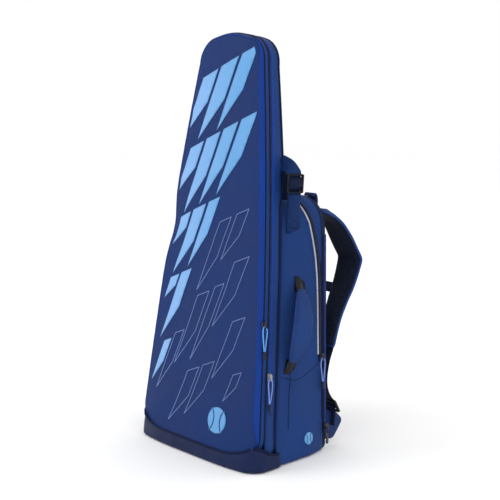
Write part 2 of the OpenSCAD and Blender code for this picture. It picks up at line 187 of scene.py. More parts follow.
def hard(name, base, light, rough=(0.32, 0.5), metallic=0.0):
    """Moulded plastic or cast metal: fine grain, scuffed lighter patches."""
    material, tree, shader, coords = start(name)
    scuff = noise_of(tree, coords, 120.0, 5.0, 0.45, 0.75)
    shades(tree, shader, maths(tree, "MULTIPLY", scuff, 0.5), base, light)
    spread = mapped_range(tree, scuff, To_Min=rough[0], To_Max=rough[1])
    tree.links.new(spread, shader.inputs["Roughness"])
    bump(tree, shader, noise_of(tree, coords, 700.0, 2.0), 0.15, 0.0002)
    finish(shader, Metallic=metallic, Specular_IOR_Level=0.5 if metallic else 0.2)
    return material


def spacer_mesh(name, base, hole):
    """Open-celled padding mesh: dark holes in a paler net."""
    material, tree, shader, coords = start(name)
    cells = add(tree, "ShaderNodeTexVoronoi", {"Vector": coords, "Scale": 330.0})
    net = mapped_range(tree, cells.outputs["Distance"], From_Min=0.25, From_Max=0.55)
    depth = maths(tree, "MULTIPLY_ADD", noise_of(tree, coords, 14.0), 0.25, 0.0)
    shades(tree, shader, maths(tree, "ADD", net, depth), hole, base)
    bump(tree, shader, net, 0.5, 0.0008)
    finish(shader, Roughness=0.8, Specular_IOR_Level=0.08)
    return material


def print_ink(name, base, pale):
    """Printed ink, paler towards the left edge, with the weave showing through."""
    material, tree, shader, coords = start(name)
    parts = add(tree, "ShaderNodeSeparateXYZ", {"Vector": coords})
    fade = mapped_range(tree, parts.outputs["X"], From_Min=0.03, From_Max=-0.12)
    broad = maths(tree, "MULTIPLY", noise_of(tree, coords, 30.0), 0.22)
    shades(tree, shader, maths(tree, "ADD", fade, broad), base, pale)
    bump(tree, shader, weave_of(tree, coords, 1.1), 0.25, 0.0003)
    finish(shader, Roughness=0.5, Specular_IOR_Level=0.25)
    return material


FRONT = cloth("front_fabric", (8, 34, 86), (20, 52, 112), rough=(0.42, 0.6))
SIDE = cloth("side_fabric", (14, 44, 98), (28, 64, 126), pitch=1.3)
COATED = cloth("coated_fabric", (10, 22, 56), (22, 38, 82), pitch=2.2, rough=(0.3, 0.48), yarn=0.5)
ROYAL = cloth("zip_tape", (6, 46, 124), (16, 64, 152), pitch=0.8)
PIPE = cloth("piping", (14, 40, 104), (26, 62, 140), pitch=0.7)
# Dark binding for seams, pipings and zip tapes; the compression fins use it as painted shadow.
SEAM_AND_SHADOW = cloth("dark_binding_and_shadow", (8, 16, 40), (16, 28, 62), pitch=0.7)
LINING = cloth("lining", (40, 70, 140), (60, 92, 168), pitch=0.6, yarn=0.15)
NAVY_WEB = cloth("webbing", (10, 20, 46), (20, 34, 70), pitch=1.8, yarn=0.9)
STRAP = cloth("strap_fabric", (18, 38, 84), (32, 58, 112))
STRAP_EDGE = cloth("strap_binding", (24, 52, 112), (42, 76, 146), pitch=0.8)
GRIP_CLOTH = cloth("handle_fabric", (16, 44, 98), (32, 68, 130))
WEB_BLUE = cloth("side_webbing", (12, 38, 86), (24, 56, 114), pitch=1.8, yarn=0.9)
BACKING = cloth("back_fabric", (14, 26, 58), (26, 42, 82))
THREAD = cloth("thread", (34, 58, 112), (58, 86, 146), pitch=0.4)
CORD = cloth("pull_cord", (84, 150, 224), (122, 184, 242), pitch=0.9, mottle=0.25)
CORD_PALE = cloth("pull_cord_pale", (104, 136, 212), (140, 168, 232), pitch=0.9, mottle=0.25)
INK = print_ink("print_ink", (92, 154, 208), (130, 174, 226))
LINE_INK = print_ink("line_ink", (108, 126, 178), (120, 142, 196))
AIR_MESH = spacer_mesh("air_mesh", (28, 36, 54), (8, 11, 18))
PAD_MESH = spacer_mesh("pad_mesh", (30, 44, 80), (10, 14, 30))
BLACK = hard("black_plastic", (9, 11, 17), (28, 31, 40))
COIL = hard("zip_coil", (36, 42, 66), (74, 80, 102), rough=(0.4, 0.55))
COIL_BLUE = hard("zip_coil_blue", (12, 44, 122), (40, 82, 168), rough=(0.4, 0.55))
STEEL = hard("slider_steel", (150, 152, 158), (205, 206, 210), metallic=0.9, rough=(0.25, 0.4))
GUNMETAL = hard("slider_dark", (48, 50, 58), (110, 112, 120), metallic=0.8, rough=(0.3, 0.45))
GRIP = hard("pull_grip", (14, 24, 58), (38, 54, 98), rough=(0.45, 0.6))
SILVER = cloth("reflective", (150, 156, 170), (206, 210, 220), pitch=0.5, rough=(0.25, 0.4), sheen=0.1)
BOARD = hard("board", (150, 152, 156), (178, 180, 184), rough=(0.45, 0.6))

# ---------------------------------------------------------------- mesh helpers


def shade_smooth(data, smooth=True):
    data.polygons.foreach_set("use_smooth", [smooth] * len(data.polygons))


def linked(name, data):
    """A new object with that mesh, in the scene."""
    piece = bpy.data.objects.new(name, data)
    bpy.context.scene.collection.objects.link(piece)
    return piece


def make(name, points, faces, material, smooth=True):
    """A mesh object from points in millimetres."""
    data = bpy.data.meshes.new(name)
    data.from_pydata([tuple(float(c) * MM for c in p) for p in points], [], faces)
    data.validate()
    made = bmesh.new()
    made.from_mesh(data)
    bmesh.ops.remove_doubles(made, verts=made.verts, dist=1e-6)
    bmesh.ops.recalc_face_normals(made, faces=made.faces)
    made.to_mesh(data)
    made.free()
    data.materials.append(material)
    shade_smooth(data, smooth)
    return linked(name, data)


def modified(piece, kind, **settings):
    modifier = piece.modifiers.new(kind.lower(), kind)
    for name, value in settings.items():
        setattr(modifier, name, value)
    return piece


def thick(piece, size, offset=-1.0):
    return modified(piece, "SOLIDIFY", thickness=size * MM, offset=offset)


def settle(piece, body, slot, *nodes):
    """Rides on a body and stands for CAD nodes; slot is not used."""
    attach(piece, body)
    if nodes:
        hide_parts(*nodes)
    return piece


def joined(name, pieces):
    """One object from several, with their modifiers applied and their materials kept."""
    target = bmesh.new()
    materials = []
    bpy.context.view_layer.update()
    graph = bpy.context.evaluated_depsgraph_get()
    for piece in pieces:
        data = bpy.data.meshes.new_from_object(piece.evaluated_get(graph))
        data.transform(piece.matrix_world)
        material = piece.data.materials[0]
        if material not in materials:
            materials.append(material)
        data.polygons.foreach_set("material_index", [materials.index(material)] * len(data.polygons))
        target.from_mesh(data)
        bpy.data.meshes.remove(data)
    data = bpy.data.meshes.new(name)
    target.to_mesh(data)
    target.free()
    for material in materials:
        data.materials.append(material)
    for piece in pieces:
        bpy.data.objects.remove(piece)
    return linked(name, data)


def grid_faces(rows, columns, close_rows=False, close_columns=False):
    faces = []
    for r in range(rows if close_rows else rows - 1):
        for c in range(columns if close_columns else columns - 1):
            a = r * columns + c
            b = r * columns + (c + 1) % columns
            below = (r + 1) % rows * columns
            faces.append((a, b, below + (c + 1) % columns, below + c))
    return faces


def sheet_solid(name, outer, inner, material, inside=None):
    """Closed solid between two grids of the same shape; its inner side may have its own material."""
    rows, columns = outer.shape[:2]
    count = rows * columns
    faces = grid_faces(rows, columns)
    back = [tuple(count + i for i in reversed(f)) for f in faces]
    rim = [r * columns for r in range(rows)]
    rim += [(rows - 1) * columns + c for c in range(1, columns)]
    rim += [r * columns + columns - 1 for r in range(rows - 2, -1, -1)]
    rim += list(range(columns - 2, 0, -1))
    edge = [(rim[i], rim[(i + 1) % len(rim)], count + rim[(i + 1) % len(rim)], count + rim[i])
            for i in range(len(rim))]
    points = np.concatenate([outer.reshape(-1, 3), inner.reshape(-1, 3)])
    piece = make(name, points, faces + back + edge, material)
    if inside is not None:
        piece.data.materials.append(inside)
        for polygon in piece.data.polygons[len(faces):len(faces) * 2]:
            polygon.material_index = 1
    return piece


def tube_mesh(sections, closed=False):
    """Points and faces of a tube through sections that all have the same count of points."""
    sections = np.asarray(sections, float)
    rows, columns = sections.shape[:2]
    faces = grid_faces(rows, columns, close_rows=closed, close_columns=True)
    if not closed:
        faces.append(tuple(range(columns - 1, -1, -1)))
        faces.append(tuple((rows - 1) * columns + c for c in range(columns)))
    return sections.reshape(-1, 3), faces


def travelled(path):
    """Distance along a path to each of its points."""
    return np.concatenate([[0], np.cumsum(np.linalg.norm(np.diff(path, axis=0), axis=1))])


def along_at(at, steps, values):
    """Values at given distances along a path whose points are at steps."""
    return np.stack([np.interp(at, steps, values[:, k]) for k in range(values.shape[1])], axis=-1)


def around(count):
    """Angles of that many even steps round a full turn."""
    return np.linspace(0, 2 * math.pi, count, endpoint=False)


def circle(x, y, radius, count=8):
    return [(x + radius * math.cos(a), y + radius * math.sin(a)) for a in around(count)]


def smooth_path(points, count, closed=False):
    """Smooth curve through points, evenly spaced along its length."""
    p = np.asarray(points, float)
    if closed:
        p = np.concatenate([p[-1:], p, p[:2]])
    else:
        p = np.concatenate([p[:1], p, p[-1:]])
    dense = []
    for a, b, c, d in zip(p, p[1:], p[2:], p[3:]):
        for j in range(16):
            u = j / 16
            dense.append(0.5 * (2 * b + (c - a) * u + (2 * a - 5 * b + 4 * c - d) * u * u
                                + (3 * b - a - 3 * c + d) * u ** 3))
    dense = np.array([*dense, p[-2]])
    steps = travelled(dense)
    out = along_at(np.linspace(0, steps[-1], count + 1 if closed else count), steps, dense)
    return out[:-1] if closed else out


def tangents(path, closed=False):
    if closed:
        d = np.roll(path, -1, axis=0) - np.roll(path, 1, axis=0)
    else:
        d = np.gradient(path, axis=0)
    return d / np.maximum(np.linalg.norm(d, axis=1, keepdims=True), 1e-9)


def unit(vector):
    return vector / np.linalg.norm(vector, axis=-1, keepdims=True)


def ropes(name, path, radius, material, sides=8, closed=False):
    """Round cord or piping along a path."""
    path = np.asarray(path, float)
    along = tangents(path, closed)
    normal = np.cross(along[0], [0.31, 0.87, 0.38])
    sections = []
    for p, t in zip(path, along):
        normal = unit(normal - t * np.dot(normal, t))
        other = np.cross(t, normal)
        sections.append([p + normal * c + other * s for c, s in circle(0, 0, radius, sides)])
    return make(name, *tube_mesh(sections, closed), material)


def ribbon(name, path, side, width, size, material):
    """Flat band along a path. side is its width direction, size its thickness."""
    path = np.asarray(path, float)
    a, b = width / 2, size / 2
    cut = min(b * 0.9, 0.6)
    ring = [(-a + cut, -b), (0, -b), (a - cut, -b), (a, 0), (a - cut, b), (0, b), (-a + cut, b), (-a, 0)]
    sections = []
    for p, t, s in zip(path, tangents(path), np.broadcast_to(side, path.shape)):
        s = unit(s - t * np.dot(s, t))
        n = np.cross(t, s)
        sections.append([p + s * u + n * v for u, v in ring])
    return make(name, *tube_mesh(sections), material)


def hull(points):
    """Convex solid round points, as (points, faces)."""
    made = bmesh.new()
    for p in points:
        made.verts.new(p)
    bmesh.ops.convex_hull(made, input=made.verts)
    loose = [v for v in made.verts if not v.link_faces]
    bmesh.ops.delete(made, geom=loose, context="VERTS")
    made.verts.index_update()
    out = ([tuple(v.co) for v in made.verts], [tuple(v.index for v in f.verts) for f in made.faces])
    made.free()
    return out


def solids(name, shapes, matrix, material, bevel=0.5):
    """Several convex shapes in a local frame, rounded and joined as one piece."""
    made = []
    for i, shape in enumerate(shapes):
        points, faces = hull(shape)
        part = make(f"{name}_{i}", [matrix @ Vector(p) for p in points], faces, material, False)
        made.append(modified(part, "BEVEL", width=bevel * MM, segments=2, limit_method="ANGLE",
                             angle_limit=math.radians(35)))
    piece = joined(name, made)
    shade_smooth(piece.data)
    return piece


def stitches(name, path, normal, gap=4.2, length=2.8, radius=0.38):
    """A row of separate thread stitches along a path, lying on a surface with that normal."""
    path = np.asarray(path, float)
    steps = travelled(path)
    count = max(int(steps[-1] / gap), 1)
    middles = (np.arange(count) + 0.5) * steps[-1] / count
    normals = along_at(middles, steps, np.broadcast_to(normal, path.shape))
    firsts, lasts = (along_at(middles + o * length / 2, steps, path) for o in (-1, 1))
    points, faces = [], []
    for a, b, n in zip(firsts, lasts, normals):
        n = n / max(np.linalg.norm(n), 1e-9)
        if np.linalg.norm(b - a) < 0.3:
            continue
        side = np.cross(unit(b - a), n)
        first = len(points)
        for end, sink in ((a, -0.3), ((a + b) / 2, 0.25), (b, -0.3)):
            for turn in range(4):
                angle = math.pi / 4 + turn * math.pi / 2
                points.append(end + n * (sink + radius * math.sin(angle)) + side * radius * math.cos(angle))
        for row in (first, first + 4):
            faces += [(row + c, row + (c + 1) % 4, row + 4 + (c + 1) % 4, row + 4 + c) for c in range(4)]
        faces.append((first + 3, first + 2, first + 1, first))
        faces.append((first + 8, first + 9, first + 10, first + 11))
    return make(name, points, faces, THREAD)


def teeth(name, path, normal, material, width, height):
    """Zip coil: closely spaced rounded bars across a path."""
    pitch = 2.4
    path = np.asarray(path, float)
    steps = travelled(path)
    count = int(steps[-1] / pitch)
    middles = (np.arange(count) + 0.5) * steps[-1] / count
    places, ahead = (along_at(middles + o, steps, path) for o in (0, 1))
    normals = unit(along_at(middles, steps, np.broadcast_to(normal, path.shape)))
    points, faces = [], []
    for p, q, n in zip(places, ahead, normals):
        if np.linalg.norm(q - p) < 1e-6:
            continue
        run = unit(q - p)
        side = np.cross(run, n)
        first = len(points)
        for u, lift in ((-0.5, 0.35), (-0.2, 1.0), (0.2, 1.0), (0.5, 0.35)):
            for v, drop in ((-0.36, 0.55), (0, 1.0), (0.36, 0.55)):
                points.append(p + side * u * width + run * v * pitch + n * (height * lift * drop))
        for u in (-0.5, 0.5):
            for v in (-0.36, 0.36):
                points.append(p + side * u * width + run * v * pitch - n * 0.3)
        for a in (first + r * 3 + c for r in range(3) for c in range(2)):
            faces.append((a, a + 1, a + 4, a + 3))
        b = first + 12
        faces.append((first, first + 1, first + 2, b + 1, b))
        faces.append((first + 9, b + 2, b + 3, first + 11, first + 10))
        faces.append((first, b, b + 2, first + 9, first + 6, first + 3))
        faces.append((first + 2, first + 5, first + 8, first + 11, b + 3, b + 1))
        faces.append((b, b + 1, b + 3, b + 2))
    return make(name, points, faces, material)


# ---------------------------------------------------------------- body shapes


def side_at(t):
    """Half width of the racket compartment at a height along its leaning face."""
    u = (np.asarray(t, float) - LOW_T) / (CORNER_T - LOW_T)
    return LOW_HALF + (TOP_HALF - LOW_HALF) * u + SIDE_BOW * 4 * u * (1 - u)


def foot_bulge(x, z):
    """How far the loaded bag's foot stands forward of its flat front."""
    x, z = np.asarray(x, float), np.asarray(z, float)
    return 15.0 * np.exp(-np.maximum(z - 24, 0) / 48) * np.clip(1 - (x / 160) ** 4, 0, 1)


def side_sag(x, z):
    """How far the loaded right side stands out near the floor."""
    x, z = np.asarray(x, float), np.asarray(z, float)
    return 8.0 * np.exp(-np.maximum(z - 16, 0) / 42) * np.clip(x / 150, 0, 1) ** 4


def face(x, d, t):
    """Point from x, depth behind the leaning front face and height along it, on the sagged bag.

    The foot bulges forward, the left strap pinches the side, and the back swells above the main part.
    """
    x, d, t = (np.array(v, float) for v in np.broadcast_arrays(np.asarray(x, float), d, t))
    bulge = foot_bulge(x, t)
    swell = 9 * np.clip((700 - t) / 170, 0, 1) * np.clip((t - 462) / 22, 0, 1)
    pinch = 11.0 * np.exp(-((t - 405) / 44) ** 2) * np.clip(-x / 115, 0, 1) ** 3
    d = d - bulge * np.clip(1 - d / 20, 0, 1) + swell * np.clip((d - 20) / 28, 0, 1)
    x = x + pinch + side_sag(x, t)
    y = FRONT_Y + d * math.cos(LEAN) + t * math.sin(LEAN)
    return np.stack([x, y, -d * math.sin(LEAN) + t * math.cos(LEAN)], axis=-1)


def split_y(z):
    return FRONT_Y + z * math.tan(LEAN) + (RACK_D + 0.3) / math.cos(LEAN)


def front_half(z):
    return side_at(np.asarray(z, float) / math.cos(LEAN)) - 1


def back_half(z):
    return BACK_LOW + (BACK_HIGH - BACK_LOW) * (np.asarray(z, float) - 18) / (MAIN_SIDE - 18)


def main_x(y, z):
    s = (y - split_y(z)) / (INNER_Y - split_y(z))
    return front_half(z) + (back_half(z) - front_half(z)) * s


def rack_rows(foot_r):
    """Heights and half widths of the racket compartment's rounded outline, bottom to top."""
    foot_x = float(side_at(LOW_T + foot_r)) - foot_r
    rows = [(LOW_T + foot_r * (1 - math.cos(a)), foot_x + foot_r * math.sin(a))
            for a in np.linspace(0, math.pi / 2, 13)]
    rows += [(t, float(side_at(t)))
             for t in np.linspace(LOW_T + foot_r, CORNER_T, int((CORNER_T - LOW_T - foot_r) / 7))[1:-1]]
    rows += [(CORNER_T + TOP_R * math.sin(a), TOP_HALF - TOP_R + TOP_R * math.cos(a))
             for a in np.linspace(0, math.radians(76), 14)]
    t0, x0 = rows[-1]
    rows += [(FACE_LEN - (FACE_LEN - t0) * u * u, x0 * u) for u in (0.8, 0.6, 0.4, 0.22, 0.08)]
    return np.array(rows)


def loop_of(rows):
    """Closed outline round the racket compartment: bottom middle, right side, top, left side."""
    t, x = rows[:, 0], rows[:, 1]
    foot = [(x[0] * u, LOW_T) for u in np.linspace(0, 1, 12, endpoint=False)]
    right = np.concatenate([foot, np.stack([x, t], axis=1), [(0, FACE_LEN)]])
    left = right[-2:0:-1] * [-1, 1]
    return np.concatenate([right, left])


def edge_distance(x, t, loop):
    """Distance from points to a closed outline."""
    p = np.stack([np.ravel(x), np.ravel(t)], axis=1)
    best = np.full(len(p), 1e9)
    for corner, run in zip(loop, np.roll(loop, -1, axis=0) - loop):
        u = np.clip((p - corner) @ run / max(run @ run, 1e-9), 0, 1)
        best = np.minimum(best, np.linalg.norm(p - corner - u[:, None] * run, axis=1))
    return best.reshape(np.shape(x))


FRONT_ROWS = rack_rows(FRONT_FOOT_R)
FRONT_LOOP = loop_of(FRONT_ROWS)
GUSSET_ROWS = rack_rows(GUSSET_FOOT_R)
GUSSET_LOOP = loop_of(GUSSET_ROWS)


def soft_noise(x, y, z, size):
    """Smooth bumps of about that size in millimetres, from -1 to 1."""
    x, y, z = np.broadcast_arrays(np.asarray(x, float), y, z)
    flat = [noise.noise(Vector((a / size, b / size, c / size)))
            for a, b, c in zip(x.ravel(), y.ravel(), z.ravel())]
    return np.array(flat).reshape(x.shape)


def rounding(distance, radius):
    """Drop of a rounded edge at a distance in from it."""
    left = radius - np.minimum(distance, radius)
    return radius - np.sqrt(np.maximum(radius ** 2 - left ** 2, 0))


def front_depth(x, t):
    """Depth of the padded front's surface: rounded edge, crowned middle, soft dents."""
    e = edge_distance(x, t, FRONT_LOOP)
    inside = 1 - np.exp(-e / 38)
    dents = 1.5 * soft_noise(x, 0.0, t, 95) + 0.5 * soft_noise(x, 7.0, t, 34)
    pucker = 0.35 * np.sin(np.asarray(t) / 5.0) * np.exp(-((e - 12) / 9) ** 2)
    return rounding(e, EDGE_R) - 4.0 * inside + dents * inside + pucker


def rack_back_depth(x, t):
    e = edge_distance(x, t, GUSSET_LOOP)
    return RACK_D - rounding(e, 6.0) + 1.4 * (1 - np.exp(-e / 40)) * (np.asarray(t) > 0)


def rack_grid(rows, columns=57, inset=0.0):
    c = np.linspace(-1, 1, columns)
    s = np.sin(c * math.pi / 2 * 0.84) / math.sin(math.pi / 2 * 0.84)
    t = np.clip(rows[:, 0], LOW_T + inset, FACE_LEN - inset)
    x = np.maximum(rows[:, 1] - inset, 0.5)
    return s[None, :] * x[:, None], np.repeat(t[:, None], columns, axis=1)


FOLD_START = face(0, 0, FOLD_T - 32) * MM
FOLD_END = face(0, 0, FOLD_T + 32) * MM


def fold(piece, slot, *nodes):
    """A front piece, its transform baked into its mesh, which may stand for CAD nodes."""
    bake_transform(piece)
    if nodes:
        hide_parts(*nodes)
    return piece


def loop_normals(loop):
    run = unit(np.roll(loop, -1, axis=0) - np.roll(loop, 1, axis=0))
    return np.stack([run[:, 1], -run[:, 0]], axis=1)


def rim(name, loop, section, material, keep=None):
    """Solid swept round an outline. section(i) gives (outward offset, depth) points at loop point i."""
    normals = loop_normals(loop)
    sections = []
    for i in range(len(loop)) if keep is None else keep:
        ring = np.array(section(i), float)
        x, t = (loop[i] + normals[i] * ring[:, :1]).T
        sections.append(face(x, ring[:, 1], t))
    return make(name, *tube_mesh(sections, keep is None), material)


def front_panel():
    x, t = rack_grid(FRONT_ROWS)
    outer = face(x, front_depth(x, t), t)
    xi, ti = rack_grid(FRONT_ROWS, inset=3.0)
    inner = face(xi, front_depth(x, t) * 0.5 + 5.5, ti)
    piece = sheet_solid("front_panel", outer, inner, FRONT, LINING)
    fold(piece, "front_fabric", "racket_cover", "cover_foot")
    wall = [(0, EDGE_R - 0.8), (0.9, 11), (0.6, 15), (0, 18.6), (-2.6, 18.6), (-3, 12), (-3, EDGE_R)]
    fold(rim("cover_wall", FRONT_LOOP, lambda i: wall, SIDE), "side_fabric")
    binding = [(0, 17.6), (1.1, 18.2), (1.1, 19.4), (0, 20), (-3.2, 20), (-3.2, 17.6)]
    fold(rim("cover_edge_binding", FRONT_LOOP, lambda i: binding, SEAM_AND_SHADOW), "side_fabric")


def back_wall():
    x, t = rack_grid(GUSSET_ROWS, 41)
    outer = face(x, rack_back_depth(x, t), t)
    xi, ti = rack_grid(GUSSET_ROWS, 41, inset=3.0)
    inner = face(xi, RACK_D - 5.5, ti)
    piece = sheet_solid("racket_back_wall", outer, inner, SIDE, LINING)
    settle(piece, "root", "side_fabric", "divider_panel")


def gusset():
    """Side band of the racket compartment, gathered slightly where it turns the top corners."""
    def section(i):
        bulge = 0.8 + 0.5 * math.sin(GUSSET_LOOP[i, 1] / 17.0)
        return [(0, 20.6), (bulge, 28), (bulge, 36), (0, RACK_D - 5.6), (-3, RACK_D - 5.6), (-3, 20.6)]
    wall = rim("racket_gusset_wall", GUSSET_LOOP, section, SIDE)
    settle(wall, "root", "side_fabric", "racket_gusset")
    edge = rim("gusset_back_piping", GUSSET_LOOP, lambda i: circle(0.2, RACK_D - 5, 1.6), SEAM_AND_SHADOW)
    settle(edge, "root", "side_fabric")


def racket_zip():
    """Zip up the right side, over the top and down the left, above the cover's fold."""
    keep = [i for i in range(9, len(GUSSET_LOOP) - 4) if GUSSET_LOOP[i, 1] > FOLD_T + 2]
    tape = [(0.6, 21.4), (1.8, 22.0), (2.0, 24.6), (1.8, 27.2), (0.6, 27.8), (-0.5, 24.6)]
    band = rim("racket_zip_tape", GUSSET_LOOP, lambda i: tape, ROYAL, keep)
    settle(band, "root", "zip_coil", "racket_zip")
    normals = loop_normals(GUSSET_LOOP)[keep]
    x, t = (GUSSET_LOOP[keep] + normals * 0.9).T
    out = face(normals[:, 0], 0.0, normals[:, 1]) - face(0, 0, 0)
    settle(teeth("racket_zip_coil", face(x, 20.4, t), out, COIL, 2.4, 1.2), "root", "zip_coil")


def pocket_band():
    """Royal tape round the right edge of the front, with the pocket's zip under it."""
    right = [i for i in range(len(FRONT_LOOP)) if 52 < FRONT_LOOP[i, 1] < 744 and FRONT_LOOP[i, 0] > 30]
    normals = loop_normals(FRONT_LOOP)

    def inward(i, offset):
        return (FRONT_LOOP[i] + normals[i] * np.reshape(offset, (-1, 1))).T

    def section(i):
        t = FRONT_LOOP[i, 1]
        wide = 5.6 * min(1, max(0.12, (t - 48) / 46), max(0.12, (748 - t) / 60))
        offsets = np.array([-wide, -wide * 0.66, -wide * 0.33, -0.6])
        d = front_depth(*inward(i, offsets))
        outer = [(o, v - 0.7) for o, v in zip(offsets, d)] + [(0.8, EDGE_R - 2.0), (0.8, EDGE_R - 0.5)]
        return outer + [(-1.2, EDGE_R)] + [(o - 0.2, v + 1.0) for o, v in zip(offsets[::-1], d[::-1])]
    fold(rim("pocket_zip_tape", FRONT_LOOP, section, ROYAL, right), "zip_coil", "pocket_zip")
    line = [i for i in right if 150 < FRONT_LOOP[i, 1] < 700]
    x, t = inward(line, -5.9)
    path = face(x, front_depth(x, t) - 0.2, t)
    fold(teeth("pocket_zip_coil", path, face(0, -1, 0) - face(0, 0, 0), COIL_BLUE, 2.2, 0.9), "zip_coil")
    dark = circle(0.3, EDGE_R + 1.2, 1.5)
    fold(rim("front_edge_seam", FRONT_LOOP, lambda i: dark, SEAM_AND_SHADOW), "front_fabric")
    rest = [i for i in range(len(FRONT_LOOP)) if i not in right]
    cut = next(k for k in range(1, len(rest)) if rest[k] - rest[k - 1] > 1)

    def thin(i):
        return circle(-2.9, float(front_depth(*inward(i, -2.9))[0]), 1.5)
    fold(rim("front_piping", FRONT_LOOP, thin, PIPE, rest[cut:] + rest[:cut]), "front_fabric")


# Slanted blades printed on the front: x and t of the top left corner, width and length.
BLADE_RISE = 0.42
BLADE_LEAN = 0.36
SOLID_BLADES = [
    (-64, 676, 40, 104), (-16, 697, 44, 132), (36, 719, 38, 136),
    (-82, 548, 36, 84), (-38, 567, 36, 138), (6, 586, 36, 138), (50, 605, 36, 136),
    (-98, 420, 32, 52), (-58, 437, 34, 122), (-16, 455, 28, 122),
    (-106, 306, 24, 40), (-76, 319, 28, 128), (-108, 186, 20, 80),
]
LINE_BLADES = [
    (60, 440, 28, 84), (18, 422, 28, 128), (66, 356, 34, 120), (21, 306, 22, 140), (74, 252, 30, 108),
    (-24, 284, 30, 132), (-78, 206, 24, 110), (8, 162, 30, 96), (-32, 144, 30, 98), (88, 160, 20, 50),
]


def blade(x, t, width, length):
    """A slanted strip with a rising top edge and a long sharp foot."""
    right = t + BLADE_RISE * width
    short = length * 0.58
    return [(x, t), (x - BLADE_LEAN * length, t - length),
            (x + width - BLADE_LEAN * short, right - short), (x + width, right)]


def on_front(name, polygon, lift, material, thickness=0.35, margin=10.5):
    """A printed shape laid on the front's surface, cut off near the panel's edge."""
    made = bmesh.new()
    made.faces.new([made.verts.new((x, t, 0)) for x, t in polygon])
    for normal, low, high in (((1, 0, 0), -160, 160), ((0, 1, 0), 20, 750)):
        for at in np.arange(low, high, 7.0):
            geometry = made.verts[:] + made.edges[:] + made.faces[:]
            bmesh.ops.bisect_plane(made, geom=geometry, plane_co=Vector(normal) * at, plane_no=normal)
    bmesh.ops.triangulate(made, faces=made.faces[:])

    def flat():
        made.verts.index_update()
        x, t = np.array([v.co[:2] for v in made.verts]).T
        return x, t, np.interp(t, *FRONT_ROWS.T) - margin
    x, t, half = flat()
    doomed = [f for f in made.faces if all(abs(x[v.index]) > half[v.index] for v in f.verts)]
    bmesh.ops.delete(made, geom=doomed, context="FACES")
    x, t, half = flat()
    x = np.clip(x, -half, half)
    for vertex, place in zip(made.verts, face(x, front_depth(x, t) - lift, t) * MM):
        vertex.co = place
    bmesh.ops.recalc_face_normals(made, faces=made.faces)
    if sum(f.normal.y for f in made.faces) > 0:
        bmesh.ops.reverse_faces(made, faces=made.faces[:])
    data = bpy.data.meshes.new(name)
    made.to_mesh(data)
    made.free()
    data.materials.append(material)
    shade_smooth(data)
    return thick(linked(name, data), thickness, 1.0)


def ball_shapes(x, t, radius):
    """Outlines of a ball's three fields, left and right of its two curved seams and between them."""
    ring = circle(x, t, radius, 40)
    reach = radius * 0.86
    for sign in (-1, 1):
        field = [p for p in ring if sign * (p[0] - x) > 0
                 and abs(p[0] - x) > abs(ball_seam(p[1] - t, radius)) + 1.2]
        field.sort(key=lambda p: -p[1])
        yield field + [(x + sign * (ball_seam(u, radius) + 1.2), t + u)
                       for u in np.linspace(-reach, reach, 15)]
    top = [p for p in ring if abs(p[0] - x) < ball_seam(p[1] - t, radius) - 1.2 and p[1] > t]
    top.sort(key=lambda p: p[0])
    right = [(x + ball_seam(u, radius) - 1.2, t + u) for u in np.linspace(reach, -reach, 15)]
    bottom = [(a, 2 * t - b) for a, b in reversed(top)]
    yield top + right + bottom + [(2 * x - a, b) for a, b in reversed(right)]


def prints():
    """Solid and outlined blades over the front, and a plain ball low on it."""
    blocks = [on_front(f"blade_{i}", blade(*b), 0.2, INK) for i, b in enumerate(SOLID_BLADES)]
    fold(joined("front_print", blocks), "front_fabric")
    strips = []
    for i, sizes in enumerate(LINE_BLADES):
        corners = np.array(blade(*sizes), float)
        for a, b in zip(corners, np.roll(corners, -1, axis=0)):
            run = unit(b - a)
            n = np.array([-run[1], run[0]]) * 0.6
            a, b = a - run * 0.5, b + run * 0.5
            strips.append(on_front(f"line_{i}", [a - n, b - n, b + n, a + n], 0.25, LINE_INK, 0.25, 12.0))
    fold(joined("front_line_print", strips), "front_fabric")
    fields = [on_front("ball", shape, 0.3, INK) for shape in ball_shapes(62.0, 74.0, 23.0)]
    fold(joined("front_emblem", fields), "front_fabric")


def ball_seam(u, radius):
    """Distance of a ball's curved seam from its middle line at height u."""
    return radius * (0.34 + 0.42 * (u / radius) ** 2)


# ---------------------------------------------------------------- base and main compartment


